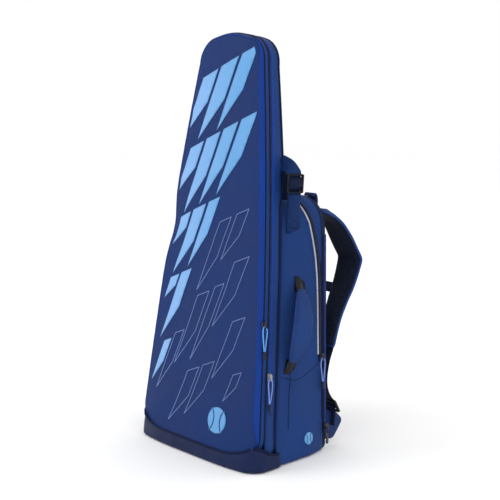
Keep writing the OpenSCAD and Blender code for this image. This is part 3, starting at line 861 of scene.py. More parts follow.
def base_boat():
    """Coated bottom of the racket compartment: rounded lower edges, rising up its walls."""
    end = split_y(0) + 7
    stations = [("side", u) for u in np.linspace(0, 1, 9)]
    stations += [("corner", u) for u in np.linspace(0, 1, 15)[1:-1]]
    stations += [("front", u) for u in np.linspace(0, 1, 19)]
    levels = [0.0, 0.05, 0.11, 0.18, 0.27, 0.38, 0.5, 0.64, 0.8, 1.0]
    lower, r, top, corner_rise = 7.0, 24.0, 27.0, 17.0

    def place(kind, u, v):
        rise = {"side": u ** 2 * 0.5, "corner": 0.5 + 0.5 * math.sin(math.pi * u) + 0.1 * u,
                "front": 0.6 * (1 - min(u * 2.4, 1)) ** 2}[kind]
        z = 0.4 + (top + corner_rise * rise - 0.4) * v
        cut = lower - math.sqrt(max(lower ** 2 - (lower - min(z, lower)) ** 2, 0))
        front = FRONT_Y + z * math.tan(LEAN) - 3.2 + cut
        half = float(side_at(max(z, LOW_T))) + 2.6 - cut
        if kind == "side":
            return half, end + (front + r - end) * u, z
        if kind == "corner":
            a = u * math.pi / 2
            x, y = half - r + r * math.cos(a), front + r - r * math.sin(a)
        else:
            x, y = (half - r) * (1 - u), front
        bulge = float(foot_bulge(x, z))
        if kind == "corner":
            bulge *= math.sin(u * math.pi / 2) ** 2
        return x, y - bulge, z

    outer = []
    for kind, u in stations:
        right = [place(kind, u, v) for v in levels[::-1]]
        left = [(-x, y, z) for x, y, z in right[::-1]]
        across = [(right[-1][0] * w, right[-1][1], 0.4) for w in (0.6, 0.2, -0.2, -0.6)]
        outer.append(right + across + left)
    outer = np.array(outer)
    ripple = 1.1 * soft_noise(outer[:, :, 0], outer[:, :, 1], outer[:, :, 2] * 1.6, 34)
    outer[:, :, 1] += np.where(outer[:, :, 2] > 5, ripple, 0)
    outer[:, :, 0] += side_sag(outer[:, :, 0], outer[:, :, 2])
    piece = make("base_boat", outer.reshape(-1, 3), grid_faces(*outer.shape[:2]), COATED)
    thick(piece, 1.6, -1)
    settle(piece, "root", "coated_base", "base_panel")
    path = np.concatenate([outer[:, 0], (outer[:, 0] * [-1, 1, 1])[-2::-1]])
    settle(ropes("base_edge_piping", smooth_path(path, 150), 1.5, SEAM_AND_SHADOW), "root", "coated_base")


def main_profile(y_share):
    """Closed cross section of the main compartment at a share of its depth, soft and rounded."""
    foot = 10.0

    def half_at(z):
        return float(front_half(z) + (back_half(z) - front_half(z)) * y_share)
    side = [(half_at(foot) - foot + foot * math.sin(a), foot * (1 - math.cos(a)) + 0.5)
            for a in np.linspace(0, math.pi / 2, 8)]
    side += [(half_at(z), z) for z in np.linspace(foot, MAIN_SIDE, 52)[1:]]
    side += [(half_at(MAIN_SIDE) - MAIN_R + MAIN_R * math.cos(a), MAIN_SIDE + MAIN_R * math.sin(a))
             for a in np.linspace(0, math.pi / 2, 13)[1:]]
    top = [(side[-1][0] * u, MAIN_H + 2.0 * (1 - u * u)) for u in (0.8, 0.6, 0.4, 0.2, 0.0)]
    low = [(side[0][0] * u, 0.5) for u in np.linspace(0, 0.96, 13)]
    right = low + side + top
    return np.array(right + [(-x, z) for x, z in right[-2:0:-1]])


def main_wall():
    """Walls of the main compartment: swollen, wrinkled, drawn in at seams and zip, sagging at the foot."""
    shares = [0, 0.02, 0.05, 0.1, 0.16, 0.23, 0.3, 0.38, 0.46, 0.54, 0.62, 0.7, 0.77, 0.83, 0.88, 0.92, 0.95,
              0.975, 1.0]
    back = INNER_Y + 1.5
    sections = []
    for s in shares:
        x, z = main_profile(s).T
        y = split_y(z) + (back - split_y(z)) * s
        tuck = 7.0 - np.sqrt(np.maximum(49 - np.maximum(7 - (back - y), 0) ** 2, 0))
        front_tuck = 3.0 * np.exp(-(y - split_y(z)) / 3.5)
        zipped = 1.4 * np.exp(-((y - zip_y(z)) / 6.0) ** 2) * (z > 60)
        swell = 3.4 * np.sin(np.pi * s) * np.clip((z - 20) / 60, 0, 1)
        wrinkle = 1.5 * soft_noise(x, y * 1.6, z, 70) + 0.9 * soft_noise(x, y * 2.4, z + 31, 30)
        wrinkle = wrinkle * np.clip(np.abs(x) / 120, 0, 1) * math.sin(math.pi * min(s * 1.1, 1))
        dart = -2.6 * np.exp(-((y + 6 - (z - 130) * 0.15) / 5.0) ** 2) * np.exp(-((z - 138) / 30) ** 2)
        puff = swell + wrinkle + dart * (x > 0) - tuck - front_tuck - zipped
        out = np.stack([x - np.clip(x, -90, 90), z - np.clip(z, 60, MAIN_H - 70)])
        size = np.linalg.norm(out, axis=0)
        out = np.where(size > 1, out / np.maximum(size, 1e-6), 0)
        nx = x + out[0] * puff
        nz = np.maximum(z + out[1] * puff * (z > 40), 0.5)
        nx = nx + side_sag(nx, nz) * np.clip((88 - y) / 40, 0, 1)
        sections.append(np.stack([nx, y, nz], axis=1))
    sections = np.array(sections)
    faces = grid_faces(*sections.shape[:2], close_columns=True)
    piece = thick(make("main_wall", sections.reshape(-1, 3), faces, SIDE), 2.2)
    probe = piece.data.polygons[40]
    if probe.normal.dot(probe.center - Vector((0, 0.03, 0.2))) < 0:
        piece.data.flip_normals()
    settle(piece, "root", "side_fabric", "main_shell")
    return sections


def zip_y(z):
    z = np.asarray(z, float)
    return np.where(z < 300, 78.0, 78 - 26 * ((z - 300) / (MAIN_H - 300)) ** 2)


def turned(axis, angle):
    return Matrix.Rotation(angle, 4, axis)


def shifted(x, y, z):
    return Matrix.Translation((float(x), float(y), float(z)))


FLIP = Matrix.Diagonal((-1, 1, 1, 1))
LEANING = shifted(0, FRONT_Y, 0) @ turned("X", -LEAN)


def sided(side, matrix):
    return FLIP @ matrix if side < 0 else matrix


def mapped(points, matrix):
    return np.array([matrix @ Vector(p) for p in points])


def directed(vector, matrix):
    return np.array(matrix.to_3x3() @ Vector(vector))


def rack_frame(side, t, d):
    slope = float(side_at(t + 1) - side_at(t - 1)) / 2
    out = LEANING @ shifted(side_at(t) + ZIP_TOP, d, t)
    return sided(side, out @ turned("Y", math.atan(slope)))


def main_frame():
    y, z = 78.0, 178.0
    rise = float(main_x(y, z + 20) - main_x(y, z - 20)) / 40
    swing = float(main_x(y + 5, z) - main_x(y - 5, z)) / 10
    out = shifted(main_x(y, z) + ZIP_TOP, y, z)
    return out @ turned("Y", math.atan(rise)) @ turned("Z", -math.atan(swing))


def rear_frame():
    z = 48.0
    rise = float(back_half(z + 0.5) - back_half(z - 0.5))
    return shifted(back_half(z) + 0.4 + ZIP_TOP, BACK_Y - 4, z) @ turned("Y", math.atan(rise))


def comp_frame(side):
    y, z = 28.0, 408.0
    return sided(side, shifted(main_x(y, z), y, 0) @ turned("Z", math.radians(-16)))


# Depth and height of the side handle's two anchors.
HANDLE_LOW = (3.0, 175.0)
HANDLE_HIGH = (32.0, 311.0)
HANDLE_LEN = math.dist(HANDLE_LOW, HANDLE_HIGH) + 1


def handle_frame():
    p = np.array([float(main_x(*HANDLE_LOW)), *HANDLE_LOW])
    q = np.array([float(main_x(*HANDLE_HIGH)), *HANDLE_HIGH])
    d = q - p
    return (shifted(*p) @ turned("X", -math.atan2(d[1], d[2]))
            @ turned("Y", math.atan2(d[0], math.hypot(d[1], d[2]))) @ turned("Z", math.radians(-4)))


def chest_frame():
    return shifted(0, 173, 284) @ turned("X", math.radians(-33))


# ---------------------------------------------------------------- zips on the main compartment


def wall_line(sections, y_of, low, lift=0.0):
    """Path over the main compartment's own surface where y is y_of(z), with outward normals."""
    points = []
    for column in sections[:, 3:-2].swapaxes(0, 1):
        y = float(y_of(column[-1, 2]))
        x, z = (float(np.interp(y, column[:, 1], column[:, k])) for k in (0, 2))
        if low <= z:
            points.append((x, y, z))
    path = smooth_path(points, max(len(points), 2) * 2)
    normal = unit(np.cross([0, 1, 0], tangents(path)))
    return path + normal * lift, normal


def main_zip(sections):
    path, normal = wall_line(sections, zip_y, 162, 0.3)
    tape = ribbon("main_zip_tape", path, np.cross(normal, tangents(path)), 13, 1.0, SEAM_AND_SHADOW)
    settle(tape, "root", "zip_coil", "main_zip")
    settle(teeth("main_zip_coil", path + normal * 0.4, normal, COIL, 4.6, 1.6), "root", "zip_coil")
    line, normal = wall_line(sections, lambda z: zip_y(z) - 7.6, 178, 1.0)
    pipe = ropes("main_reflective_piping", line, 1.55, SILVER)
    settle(pipe, "root", "reflective", "main_piping")
    rows = {"main_zip_stitch_front": lambda z: zip_y(z) - 11.0,
            "main_zip_stitch_rear": lambda z: np.minimum(zip_y(z) + 8.6, INNER_Y),
            "main_front_stitch": lambda z: split_y(z) + 5.5}
    for name, y_of in rows.items():
        row, normal = wall_line(sections, y_of, 60, 0.1)
        settle(stitches(name, row, normal, 4.6, 3.0, 0.34), "root", "side_fabric")


def rear_zip():
    z = np.linspace(38, 398, 90)
    path = np.stack([back_half(z) + 0.9, np.full(90, BACK_Y - 4.0), z], axis=1)
    tape = ribbon("rear_zip_tape", path, [0, 1, 0], 8.5, 1.4, SEAM_AND_SHADOW)
    settle(tape, "root", "zip_coil", "rear_zip")
    coil = teeth("rear_zip_coil", path + [0.5, 0, 0], [1, 0, 0], COIL_BLUE, 4.2, 1.2)
    settle(coil, "root", "zip_coil")


# ---------------------------------------------------------------- sliders and pulls


PIVOT_X = 4.3  # how far a pull's middle stands out from its slider's base


def block(xs, ys, zs):
    """Corners of a box."""
    return list(product(xs, ys, zs))


def slab(thickness, outline):
    """Corners of a flat plate across x with an outline in y and z."""
    return [(x, y, z) for x in thickness for y, z in outline]


def slider(tag, matrix, material, node):
    """Zip slider: two shield-shaped plates, a wedge, side flanges and a bridge."""
    shield = ((-4.4, 5), (-2.6, 6.5), (2.6, 6.5), (4.4, 5), (3.2, -6.5), (-3.2, -6.5))
    plates = [slab((0.0, 0.8), shield), slab((1.4, 2.1), shield),
              slab((0.5, 2.0), ((-1.4, 6.2), (1.4, 6.2), (0.0, 0.5)))]
    plates += [block((0.2, 2.2), (y - 0.35, y + 0.35), (-5.5, 4.5)) for y in (-4.3, 4.3)]
    arch = [(2.3, 5.8), (5.0, 5.5), (6.0, 3.7), (6.2, 0), (6.0, -3.7), (5.0, -5.5), (2.3, -5.8)]
    for (x0, z0), (x1, z1) in zip(arch, arch[1:]):
        run = Vector((x1 - x0, 0, z1 - z0)).normalized()
        up = Vector((-run.z, 0, run.x)) * 0.55
        plates.append([Vector((x, y, z)) + up * s for x, z in ((x0, z0), (x1, z1)) for y in (-1.5, 1.5)
                       for s in (-1, 1)])
    settle(solids(f"{node}_body", plates, matrix, material, 0.25), tag, "slider_metal", node)


def cord_loop(name, matrix, material, body, hold, droop=0.0):
    """Closed cord loop through a slider's bridge, its two ends held in the grip."""
    half = [(hold, 0.0, -2.0), (hold, 3.2, -4.0), (PIVOT_X, 5.0, -12.0), (4.2 + droop, 3.4, -27.0),
            (PIVOT_X, 1.25, -43.0), (PIVOT_X, 1.1, -46.0)]
    route = half + [(x, -y, z) for x, y, z in half[:0:-1]]
    path = smooth_path(mapped(route, matrix), 64, closed=True)
    settle(ropes(name, path, 1.1, material, 8, True), body, "pull_cord", body)


def grip(node, matrix, body, wide=4.2, deep=2.5):
    """Moulded grip with finger ridges at a cord's end."""
    sections = []
    for v in np.linspace(0, 1, 25):
        z = -44.6 - 14.0 * v
        swell = math.sin(math.pi * min(max(v * 0.9 + 0.08, 0), 1)) ** 0.45
        ridge = swell * (1 - 0.09 * (0.5 + 0.5 * math.cos(v * 6 * 2 * math.pi)) * (0.15 < v < 0.85))
        ring = [(PIVOT_X + deep * ridge * c, wide * ridge * s, z) for c, s in circle(0, 0, 1, 14)]
        sections.append(mapped(ring, matrix))
    settle(make(f"{node}_moulding", *tube_mesh(sections), GRIP), body, "pull_grip", node)


def pulls():
    """Sliders with their cord pulls, and the metal puller on the rear zip."""
    for side, tag in SIDES:
        matrix = rack_frame(side, 167, 23.3)
        held = f"racket_pull_{tag}"
        slider(f"racket_slider_{tag}", matrix, STEEL, f"racket_slider_{tag}")
        cord_loop(f"racket_cord_{tag}", matrix, CORD_PALE, held, 3.8, 0.6)
        grip(f"racket_grip_{tag}", matrix, held, 2.9, 2.0)
        tail = mapped([(PIVOT_X, 0, -57.5), (4.8, 1.2, -61), (5.2, 3.6, -64.5), (5.0, 6.4, -67)], matrix)
        settle(ropes(f"racket_cord_tail_{tag}", smooth_path(tail, 14), 0.9, GRIP), held, "pull_grip")
    for tag, matrix, cord, hold in (("pocket", rack_frame(1, 257, 6), CORD, 3.4),
                                    ("main", main_frame(), CORD_PALE, 4.25)):
        slider(f"{tag}_slider", matrix, GUNMETAL, f"{tag}_slider")
        cord_loop(f"{tag}_cord", matrix, cord, f"{tag}_pull", hold)
        grip(f"{tag}_grip", matrix, f"{tag}_pull")
    matrix = rear_frame()
    slider("rear_slider", matrix, GUNMETAL, "rear_slider")
    sheet = (PIVOT_X - 0.7, PIVOT_X + 0.7)
    parts = [block(sheet, (y - 0.7, y + 0.7), (-2.5, -14)) for y in (-3.2, 3.2)]
    parts.append(block(sheet, (-3.9, 3.9), (-1.9, -3.4)))
    parts.append(slab(sheet, ((-3.9, -13), (3.9, -13), (-2.9, -19), (2.9, -19))))
    parts.append(slab(sheet, ((-2.9, -18), (2.9, -18), (-2.9, -32), (2.9, -32), (0, -33.5))))
    piece = solids("rear_puller_tab", parts, matrix, GUNMETAL, 0.35)
    settle(piece, "rear_puller", "slider_metal", "rear_puller")


# ---------------------------------------------------------------- back and its padding


def back_panel():
    """Back of the bag: flat cloth whose rounded edge is piped."""
    outline = main_profile(1.0)
    centre = np.array([0, 236.0])
    rings = []
    for k in (0, 0.6, 1.6, 3.2, 5.5, 8.5, 14, 24, 40, 62, 90, 120):
        x, z = (centre + (outline - centre) * (1 - k / 150)).T
        rise = 7.0 * math.sqrt(max(0, 1 - (1 - min(k / 8.5, 1)) ** 2))
        y = INNER_Y + 0.3 + rise + 0.5 * soft_noise(x, 3.0, z, 60)
        rings.append(np.stack([x, y, np.maximum(z, 1.0)], axis=1))
    under = rings[0] + [0, -3.0, 0]
    sections = [under, *rings]
    settle(make("back_panel_cloth", *tube_mesh(sections), BACKING), "root", "back_fabric", "back_panel")
    edge = rings[2] + [0, 0.2, 0]
    settle(ropes("back_edge_piping", spaced(edge, 260), 1.9, SEAM_AND_SHADOW, 8, True), "root", "back_fabric")


def rounded_loop(x0, z0, x1, z1, r):
    """Rectangle with round corners."""
    corners = ((x1 - r, z0 + r, -90), (x1 - r, z1 - r, 0), (x0 + r, z1 - r, 90), (x0 + r, z0 + r, 180))
    return np.array([(x + r * math.cos(a), z + r * math.sin(a)) for x, z, first in corners
                     for a in np.radians(np.linspace(first, first + 90, 9))])


def spaced(loop, count):
    """Evenly spaced points round a closed outline, with its straight sides kept straight."""
    ring = np.concatenate([loop, loop[:1]])
    steps = travelled(ring)
    return along_at(np.linspace(0, steps[-1], count, endpoint=False), steps, ring)


def swollen(piece, cap):
    """Cloth pressure puffs the piece up; no point moves further than cap millimetres."""
    scene = bpy.context.scene
    bpy.context.view_layer.objects.active = piece
    bpy.ops.object.select_all(action="DESELECT")
    piece.select_set(True)
    modified(piece, "REMESH", mode="VOXEL", voxel_size=4.6 * MM)
    bpy.ops.object.modifier_apply(modifier="remesh")
    rest = np.array([v.co for v in piece.data.vertices])
    sim = piece.modifiers.new("cloth", "CLOTH")
    sim.settings.use_pressure = True
    sim.settings.uniform_pressure_force = 4.0
    sim.settings.quality = 4
    sim.settings.effector_weights.gravity = 0
    sim.collision_settings.use_collision = False
    for at in range(1, 21):
        scene.frame_set(at)
    graph = bpy.context.evaluated_depsgraph_get()
    step = np.array([v.co for v in piece.evaluated_get(graph).data.vertices]) - rest
    piece.modifiers.remove(sim)
    scene.frame_set(1)
    length = np.linalg.norm(step, axis=1, keepdims=True)
    step *= np.minimum(1, cap * MM / np.maximum(length, 1e-9))
    for vertex, place in zip(piece.data.vertices, rest + step):
        vertex.co = place
    shade_smooth(piece.data)
    modified(piece, "SUBSURF", levels=1, render_levels=1)
    bpy.ops.object.modifier_apply(modifier="subsurf")


# Inner x, low z, outer x, high z and corner radius of a back pad.
PAD = (16.0, 98.0, 116.0, 390.0, 20.0)


def back_pads():
    """Two padded mesh panels with three grooves across each."""
    for side, tag in SIDES:
        loop = rounded_loop(*PAD) * [side, 1]
        centre = np.array([side * (PAD[0] + PAD[2]) / 2, (PAD[1] + PAD[3]) / 2])
        rings = []
        for rise, inset in ((0.8, 1.5), (3.2, 0.0), (6.2, 2.5)):
            x, z = (centre + (loop - centre) * (1 - inset / 60)).T
            rings.append(np.stack([x, np.full(len(x), BACK_Y + rise), z], axis=1))
        pad = make(f"back_pad_{tag}_cushion", *tube_mesh(rings), PAD_MESH)
        swollen(pad, 5.0)
        low = (BACK_Y + 0.4) * MM
        for vertex in pad.data.vertices:
            y, z = vertex.co.yz / MM
            for groove in (172, 246, 320):
                y -= 3.6 * math.exp(-((z - groove) / 4.2) ** 2) * (y > BACK_Y + 3)
            vertex.co.y = max(y * MM, low)
        settle(pad, "root", "mesh", f"back_pad_{tag}")
        ring = spaced(np.stack([loop[:, 0], np.full(len(loop), BACK_Y + 1.6), loop[:, 1]], axis=1), 180)
        settle(ropes(f"back_pad_binding_{tag}", ring, 1.7, STRAP_EDGE, 8, True), "root", "back_fabric")


# ---------------------------------------------------------------- shoulder straps


# Depth and height of points down the inner face of a shoulder strap, and the strap's thickness.
STRAP_PATH = [(95.5, 445.5), (111, 441), (132, 432), (152, 418), (170, 394), (187, 367), (200, 346),
              (201, 335), (194, 320), (184, 302), (172, 284), (155, 264), (136, 238), (124, 214), (116, 190)]
STRAP_T = 11.5


def strap_limits(z):
    """Inner and outer edge of a shoulder strap at a height."""
    heights = [180, 214, 284, 345, 480]
    return np.array([np.interp(z, heights, [121.5, 121.5, 97, 84, 82]),
                     np.interp(z, heights, [154.5, 154.5, 146, 141, 141])])


def shoulder_straps():
    """Padded straps: cloth outside, mesh against the body, bound edges and two rows of stitching."""
    path = smooth_path(STRAP_PATH, 74)
    run = tangents(path)
    inward = np.stack([run[:, 1], -run[:, 0]], axis=1)
    away = np.stack([np.zeros(len(path)), *-inward.T], axis=1)
    u = np.sin(np.linspace(-1, 1, 15) * math.pi / 2 * 0.92) / math.sin(math.pi / 2 * 0.92)
    edge = np.abs(u)
    limits = [strap_limits(z) for y, z in path]
    for side, tag in SIDES:
        layers = [[], [], []]
        edges = [[], []]
        for i, ((y, z), n) in enumerate(zip(path, inward)):
            low, high = limits[i]
            if 0 < i < len(path) - 1:
                low, high = np.mean(limits[max(i - 4, 0):i + 5], axis=0)
            x = (low + high) / 2 + (high - low) / 2 * u
            dents = 0.8 * soft_noise(x, y, z, 42)
            roll = 6.0 * math.exp(-((z - 418) / 26) ** 2)
            hem = 0.9 * np.exp(-((edge - 0.84) / 0.05) ** 2)
            depths = (1.0 + 2.0 * edge ** 4 + hem + dents * (1 - edge ** 6), np.full(15, 7.0),
                      STRAP_T - 0.8 - 2.6 * edge ** 4 + dents * 0.5)
            for layer, depth in zip(layers, depths):
                layer.append(np.stack([side * x, y + n[0] * depth, z + n[1] * depth - roll * u], axis=1))
            for k, at in enumerate((low + 0.6, high - 0.6)):
                edges[k].append((side * at, y + n[0] * 5.4, z + n[1] * 5.4 + roll * (1 - 2 * k)))
        top, middle, under = (np.array(layer) for layer in layers)
        outer = sheet_solid(f"strap_outer_{tag}", top, middle, STRAP)
        settle(outer, "root", "strap_fabric", f"shoulder_strap_{tag}")
        settle(sheet_solid(f"strap_underside_{tag}", middle, under, AIR_MESH), "root", "mesh")
        rim_path = np.concatenate([edges[0], edges[1][::-1]])
        settle(ropes(f"strap_binding_{tag}", rim_path, 2.7, STRAP_EDGE, 8, True), "root", "strap_fabric")
        rows = [stitches("row", top[2:-2, k], away[2:-2], 4.4, 2.9, 0.36) for k in (2, 12)]
        settle(joined(f"strap_stitching_{tag}", rows), "root", "strap_fabric")
        hops = [0.9 + 0.7 * abs(math.sin(i * math.pi / 9)) for i in range(6, len(top) - 4)]
        line = top[6:-4, 7] + away[6:-4] * np.array(hops)[:, None]
        web(f"strap_daisy_webbing_{tag}", line, [side, 0, 0], 22, 1.5)


def web(name, path, side, width, size, material=None, node=None, body="root"):
    """A piece of webbing along a path, which may stand for a CAD node."""
    band = ribbon(name, path, side, width, size, material or NAVY_WEB)
    settle(band, body, "webbing", *([node] if node else []))


def webbing_and_locks():
    """Lower webbing of the shoulder straps with its adjusters and wings, and the tabs at their tops."""
    down = [(118.5, 205), (116.5, 194), (113.4, 184), (104, 160), (99, 132), (102, 110), (111, 94),
            (115, 88.6)]
    loose = [(113.5, 92), (119, 84), (121.5, 72), (121, 58), (119, 44), (120.5, 38)]
    root = [(BACK_Y + 0.5, 463), (95.5, 467), (100, 463), (101.5, 455), (101, 446), (98, 439)]
    for side, tag in SIDES:
        def hung(x, route, count):
            return smooth_path([(side * x, y, z) for y, z in route], count)
        web(f"strap_webbing_{tag}_band", hung(STRAP_X, down, 60), [1, 0, 0], 25, 1.7,
            node=f"strap_webbing_{tag}")
        web(f"strap_webbing_tail_{tag}", hung(STRAP_X, loose, 30), [1, 0, 0], 25, 1.6)
        lock = sided(side, shifted(STRAP_X, 130, 63) @ turned("X", math.radians(30)))
        ladder(f"ladder_lock_{tag}", lock, 33, 28, 6, 6.5)
        wing(side, tag)
        web(f"strap_tab_{tag}_loop", hung(107, root, 24), [1, 0, 0], 24, 3.4, STRAP, f"strap_tab_{tag}")


def ladder(tag, matrix, w, h, t, slot_h):
    """Webbing adjuster: two rails, three bars with grip ridges and a thumb lip."""
    rail = [(x, y, z) for x, y_end, inset in ((0, t * 0.3, 1.5), (3.3, t / 2, 0.3))
            for z in (inset, h - inset) for y in (-y_end, y_end)]
    shapes = [[(s * w / 2 - s * x, y, z) for x, y, z in rail] for s in (-1, 1)]
    bars = ((0, 3.8), (4 + slot_h + 0.2, h - 4 - slot_h - 0.2), (h - 3.8, h))
    for low, high in bars:
        shapes.append(slab((-w / 2 + 2, w / 2 - 2),
                           ((-t * 0.42, low + 0.8), (t * 0.42, low + 0.8), (-t * 0.42, high - 0.8),
                            (t * 0.42, high - 0.8), (0, low), (0, high))))
    low, high = bars[1]
    for k in range(3):
        z = low + (high - low) * (k + 0.5) / 3
        shapes.append(slab((-w / 2 + 5, w / 2 - 5), ((t * 0.3, z - 0.8), (t * 0.3, z + 0.8), (t * 0.5, z))))
    settle(solids(f"{tag}_frame", shapes, matrix, BLACK, 0.55), tag, "black_plastic", tag)


def wing(side, tag):
    """Stiffened side wing that carries the lower webbing."""
    outline = [(92, 20), (108, 14.5), (122, 12), (129, 13.5), (137, 22), (145, 32), (149.5, 38), (149, 43),
               (143, 50), (132, 60), (116, 66), (104, 72.5), (92, 78)]
    path = smooth_path(outline, 40)
    centre = path.mean(axis=0)
    halves = ([], [])
    for share, half in ((1.0, 0.9), (0.99, 1.6), (0.93, 1.9), (0.8, 2.3), (0.5, 2.5), (0.15, 2.6)):
        y, z = (centre + (path - centre) * share).T
        for rings, x in zip(halves, (STRAP_X + half, STRAP_X - half)):
            rings.append(np.stack([np.full(len(y), side * x), y, z], axis=1))
    rings = halves[0][::-1] + halves[1]
    settle(make(f"wing_tab_{tag}_cloth", *tube_mesh(rings), STRAP), "root", "webbing", f"wing_tab_{tag}")
    edge = np.stack([np.full(len(path), side * STRAP_X), path[:, 0], path[:, 1]], axis=1)
    settle(ropes(f"wing_binding_{tag}", edge, 1.5, NAVY_WEB), "root", "webbing")


# ---------------------------------------------------------------- compression, chest, handles


def crossed_box(name, corners, normal, gap, length, radius):
    """Stitched rectangle with both diagonals."""
    rows = [stitches("row", [corners[a], corners[b]], normal, gap, length, radius)
            for a, b in ((0, 1), (1, 2), (2, 3), (3, 0), (0, 2), (1, 3))]
    settle(joined(name, rows), "root", "webbing")


def compression():
    """Strap and lock from each side of the main compartment to the racket compartment's seam."""
    half = float(side_at(500))
    # Outline of a thin dark fin at the racket compartment's side: painted shadow for the dark strip between
    # that wall and the lock.
    fin = [(half - 3, 462), (half + 14, 462), (half + 14, 492), (half + 5, 519), (half - 4, 534),
           (half - 9, 530)]
    lower = [(1.0, 404), (2.4, 412), (3.4, 440), (5.2, 466), (6.4, 477)]
    fold_back = [(3.9, 414), (4.6, 434), (6.6, 458), (7.6, 472)]
    over_bar = [(2.2, 470), (2.6, 476), (6.0, 482), (10.6, 487), (11.0, 491.5), (10.6, 496), (6.4, 501),
                (3.4, 507), (4.4, 512)]
    for side, tag in SIDES:
        matrix = comp_frame(side)
        across = directed((0, 1, 0), matrix)

        def out_from_wall(route, count):
            return smooth_path(mapped([(x, 0, z) for x, z in route], matrix), count)
        # The upper webbing twists from flat in the lock to upright in the racket compartment's seam.
        seam = np.array([side * (float(side_at(534)) + 0.5), 21.0, 528.0])
        first = mapped([(4.0, 0, 504), (6.2, 0, 511)], matrix)
        middle = (first[1] + seam) / 2 + [side * 2.5, 0.5, 1.0]
        turn = np.linspace(0, 1, 30)[:, None]
        turn = turn * turn * (3 - 2 * turn)
        widths = across * (1 - turn) + np.array([0.0, 0.12, 1.0]) * turn
        upper = smooth_path([*first, middle, seam], 30)
        web(f"compression_upper_{tag}_web", upper, widths, 26, 1.8, WEB_BLUE, f"compression_upper_{tag}")
        # Thin dark plate in the racket compartment's seam plane, filling the gap to the lock: painted shadow.
        corners = [(side * x, y, z) for x, z in fin for y in (20.5, 22.5)]
        shadow_fin = solids(f"compression_gusset_{tag}", [corners], Matrix.Identity(4), SEAM_AND_SHADOW, 0.4)
        settle(shadow_fin, "root", "side_fabric")
        web(f"compression_lower_{tag}_web", out_from_wall(lower, 26), across, 26, 1.8, WEB_BLUE,
            f"compression_lower_{tag}")
        web(f"compression_sewn_{tag}", out_from_wall(fold_back, 22), across, 24, 1.5, WEB_BLUE)
        box = mapped([(4.6, -12, 411), (4.6, 12, 411), (5.4, 12, 429), (5.4, -12, 429)], matrix)
        crossed_box(f"compression_stitching_{tag}", box, directed((1, 0, 0), matrix), 3.0, 2.1, 0.4)
        lock = matrix @ shifted(6.5, 0, 474.5) @ turned("Z", math.pi / 2) @ turned("Y", math.radians(3))
        ladder(f"compression_lock_{tag}", lock, 33, 34, 7, 8)
        web(f"compression_wrap_{tag}", out_from_wall(over_bar, 30), across, 26, 1.5,
            body=f"compression_lock_{tag}")


def chest():
    """Chest strap: two webbings on sliders, joined by a side-release buckle."""
    matrix = chest_frame()
    across = directed((0, 0, 1), matrix)
    for tag, x0, x1, body in (("left", -119, -18, "chest_strap"), ("right", 15, 119, "chest_release")):
        path = [(x, 4.4 + 0.5 * math.sin(x / 16.0) * (abs(x) < 92), 0) for x in np.linspace(x0, x1, 40)]
        web(f"chest_webbing_{tag}_band", mapped(path, matrix), across, 20, 1.7, node=f"chest_webbing_{tag}",
            body=body)
    for side, tag in SIDES:
        parts = (((98, 112), (1.2, 7.0), (-14, -10.6)), ((98, 112), (1.2, 7.0), (10.6, 14)),
                 ((99, 103.5), (5.9, 8.0), (-14, 14)), ((106.5, 111), (5.9, 8.0), (-14, 14)),
                 ((99, 111), (0.9, 2.6), (-13, 13)))
        shapes = [block([side * x for x in xs], ys, zs) for xs, ys, zs in parts]
        piece = solids(f"chest_slider_{tag}_frame", shapes, matrix, BLACK, 0.5)
        settle(piece, "chest_strap", "black_plastic", f"chest_slider_{tag}")

    def prism(outline, ys, z_sign):
        return [(x, y, z_sign * z) for x, z in outline for y in ys]
    shell = ((2, -9), (-2, -11.5), (-14, -13), (-24.5, -13), (2, 9), (-2, 11.5), (-14, 13), (-24.5, 13))
    socket = [prism(shell, (0.6, 2.0), 1), prism(shell, (7.4, 9.0), 1)]
    for z in (-1, 1):
        socket.append(prism(((-24.5, 13), (-24.5, 10), (-17, 13), (-17, 10)), (0.8, 8.8), z))
        socket.append(prism(((2, 9), (2, 6.6), (-5, 11.2), (-5, 8)), (0.8, 8.8), z))
    socket.append(block((-24.5, -20.5), (0.8, 8.8), (-12, 12)))
    barb = ((3, 3.6), (3, 6.4), (-9, 6.6), (-9, 8.3), (-5, 8.3), (-10.8, 7))
    prongs = [block((2.6, 8), (0.8, 8.8), (-12, 12)), block((16.5, 20.5), (1.0, 8.6), (-13, 13))]
    for z in (-1, 1):
        prongs.append(block((6, 19), (1.0, 8.6), (z * 10, z * 13)))
        prongs.append(prism(barb, (3.2, 6.4), z))
    prongs.append(block((-10, 3), (3.6, 6.0), (-1.6, 1.6)))
    for name, shapes, bevel, body, node in (
            ("chest_buckle_socket", socket, 0.6, "chest_strap", "chest_buckle_female"),
            ("chest_buckle_prongs", prongs, 0.5, "chest_release", "chest_buckle_male")):
        settle(solids(name, shapes, matrix, BLACK, bevel), body, "black_plastic", node)


def haul_loop():
    """Grab loop of doubled webbing hanging on the back, with a folded grip."""
    route = [(-35, 445.5), (-35, 436), (-34.5, 424), (-31, 414), (-22, 409.5), (-10, 409), (0, 409)]
    route += [(-x, z) for x, z in route[-2::-1]]
    path = smooth_path([(x, BACK_Y + 2.7 + 0.6 * math.cos(x / 9.0), z) for x, z in route], 70)
    side = np.cross(tangents(path), [0, 1, 0])
    web("haul_loop_webbing", path, side, 13.6, 2.2, node="haul_loop", body="haul_loop")
    web("haul_loop_grip", path[24:46], side[24:46], 14.2, 4.4, STRAP_EDGE, body="haul_loop")
    for tag, x in (("left", -35), ("right", 35)):
        patch = smooth_path([(x, BACK_Y + 0.6, z) for z in (462, 455, 448, 443)], 8)
        web(f"haul_anchor_{tag}", patch, [1, 0, 0], 16, 1.6)
        corners = [(x + dx, BACK_Y + 1.5, z) for dx, z in ((-6, 446), (6, 446), (6, 459), (-6, 459))]
        crossed_box(f"haul_anchor_stitching_{tag}", corners, [0, 1, 0], 3.0, 2.0, 0.36)


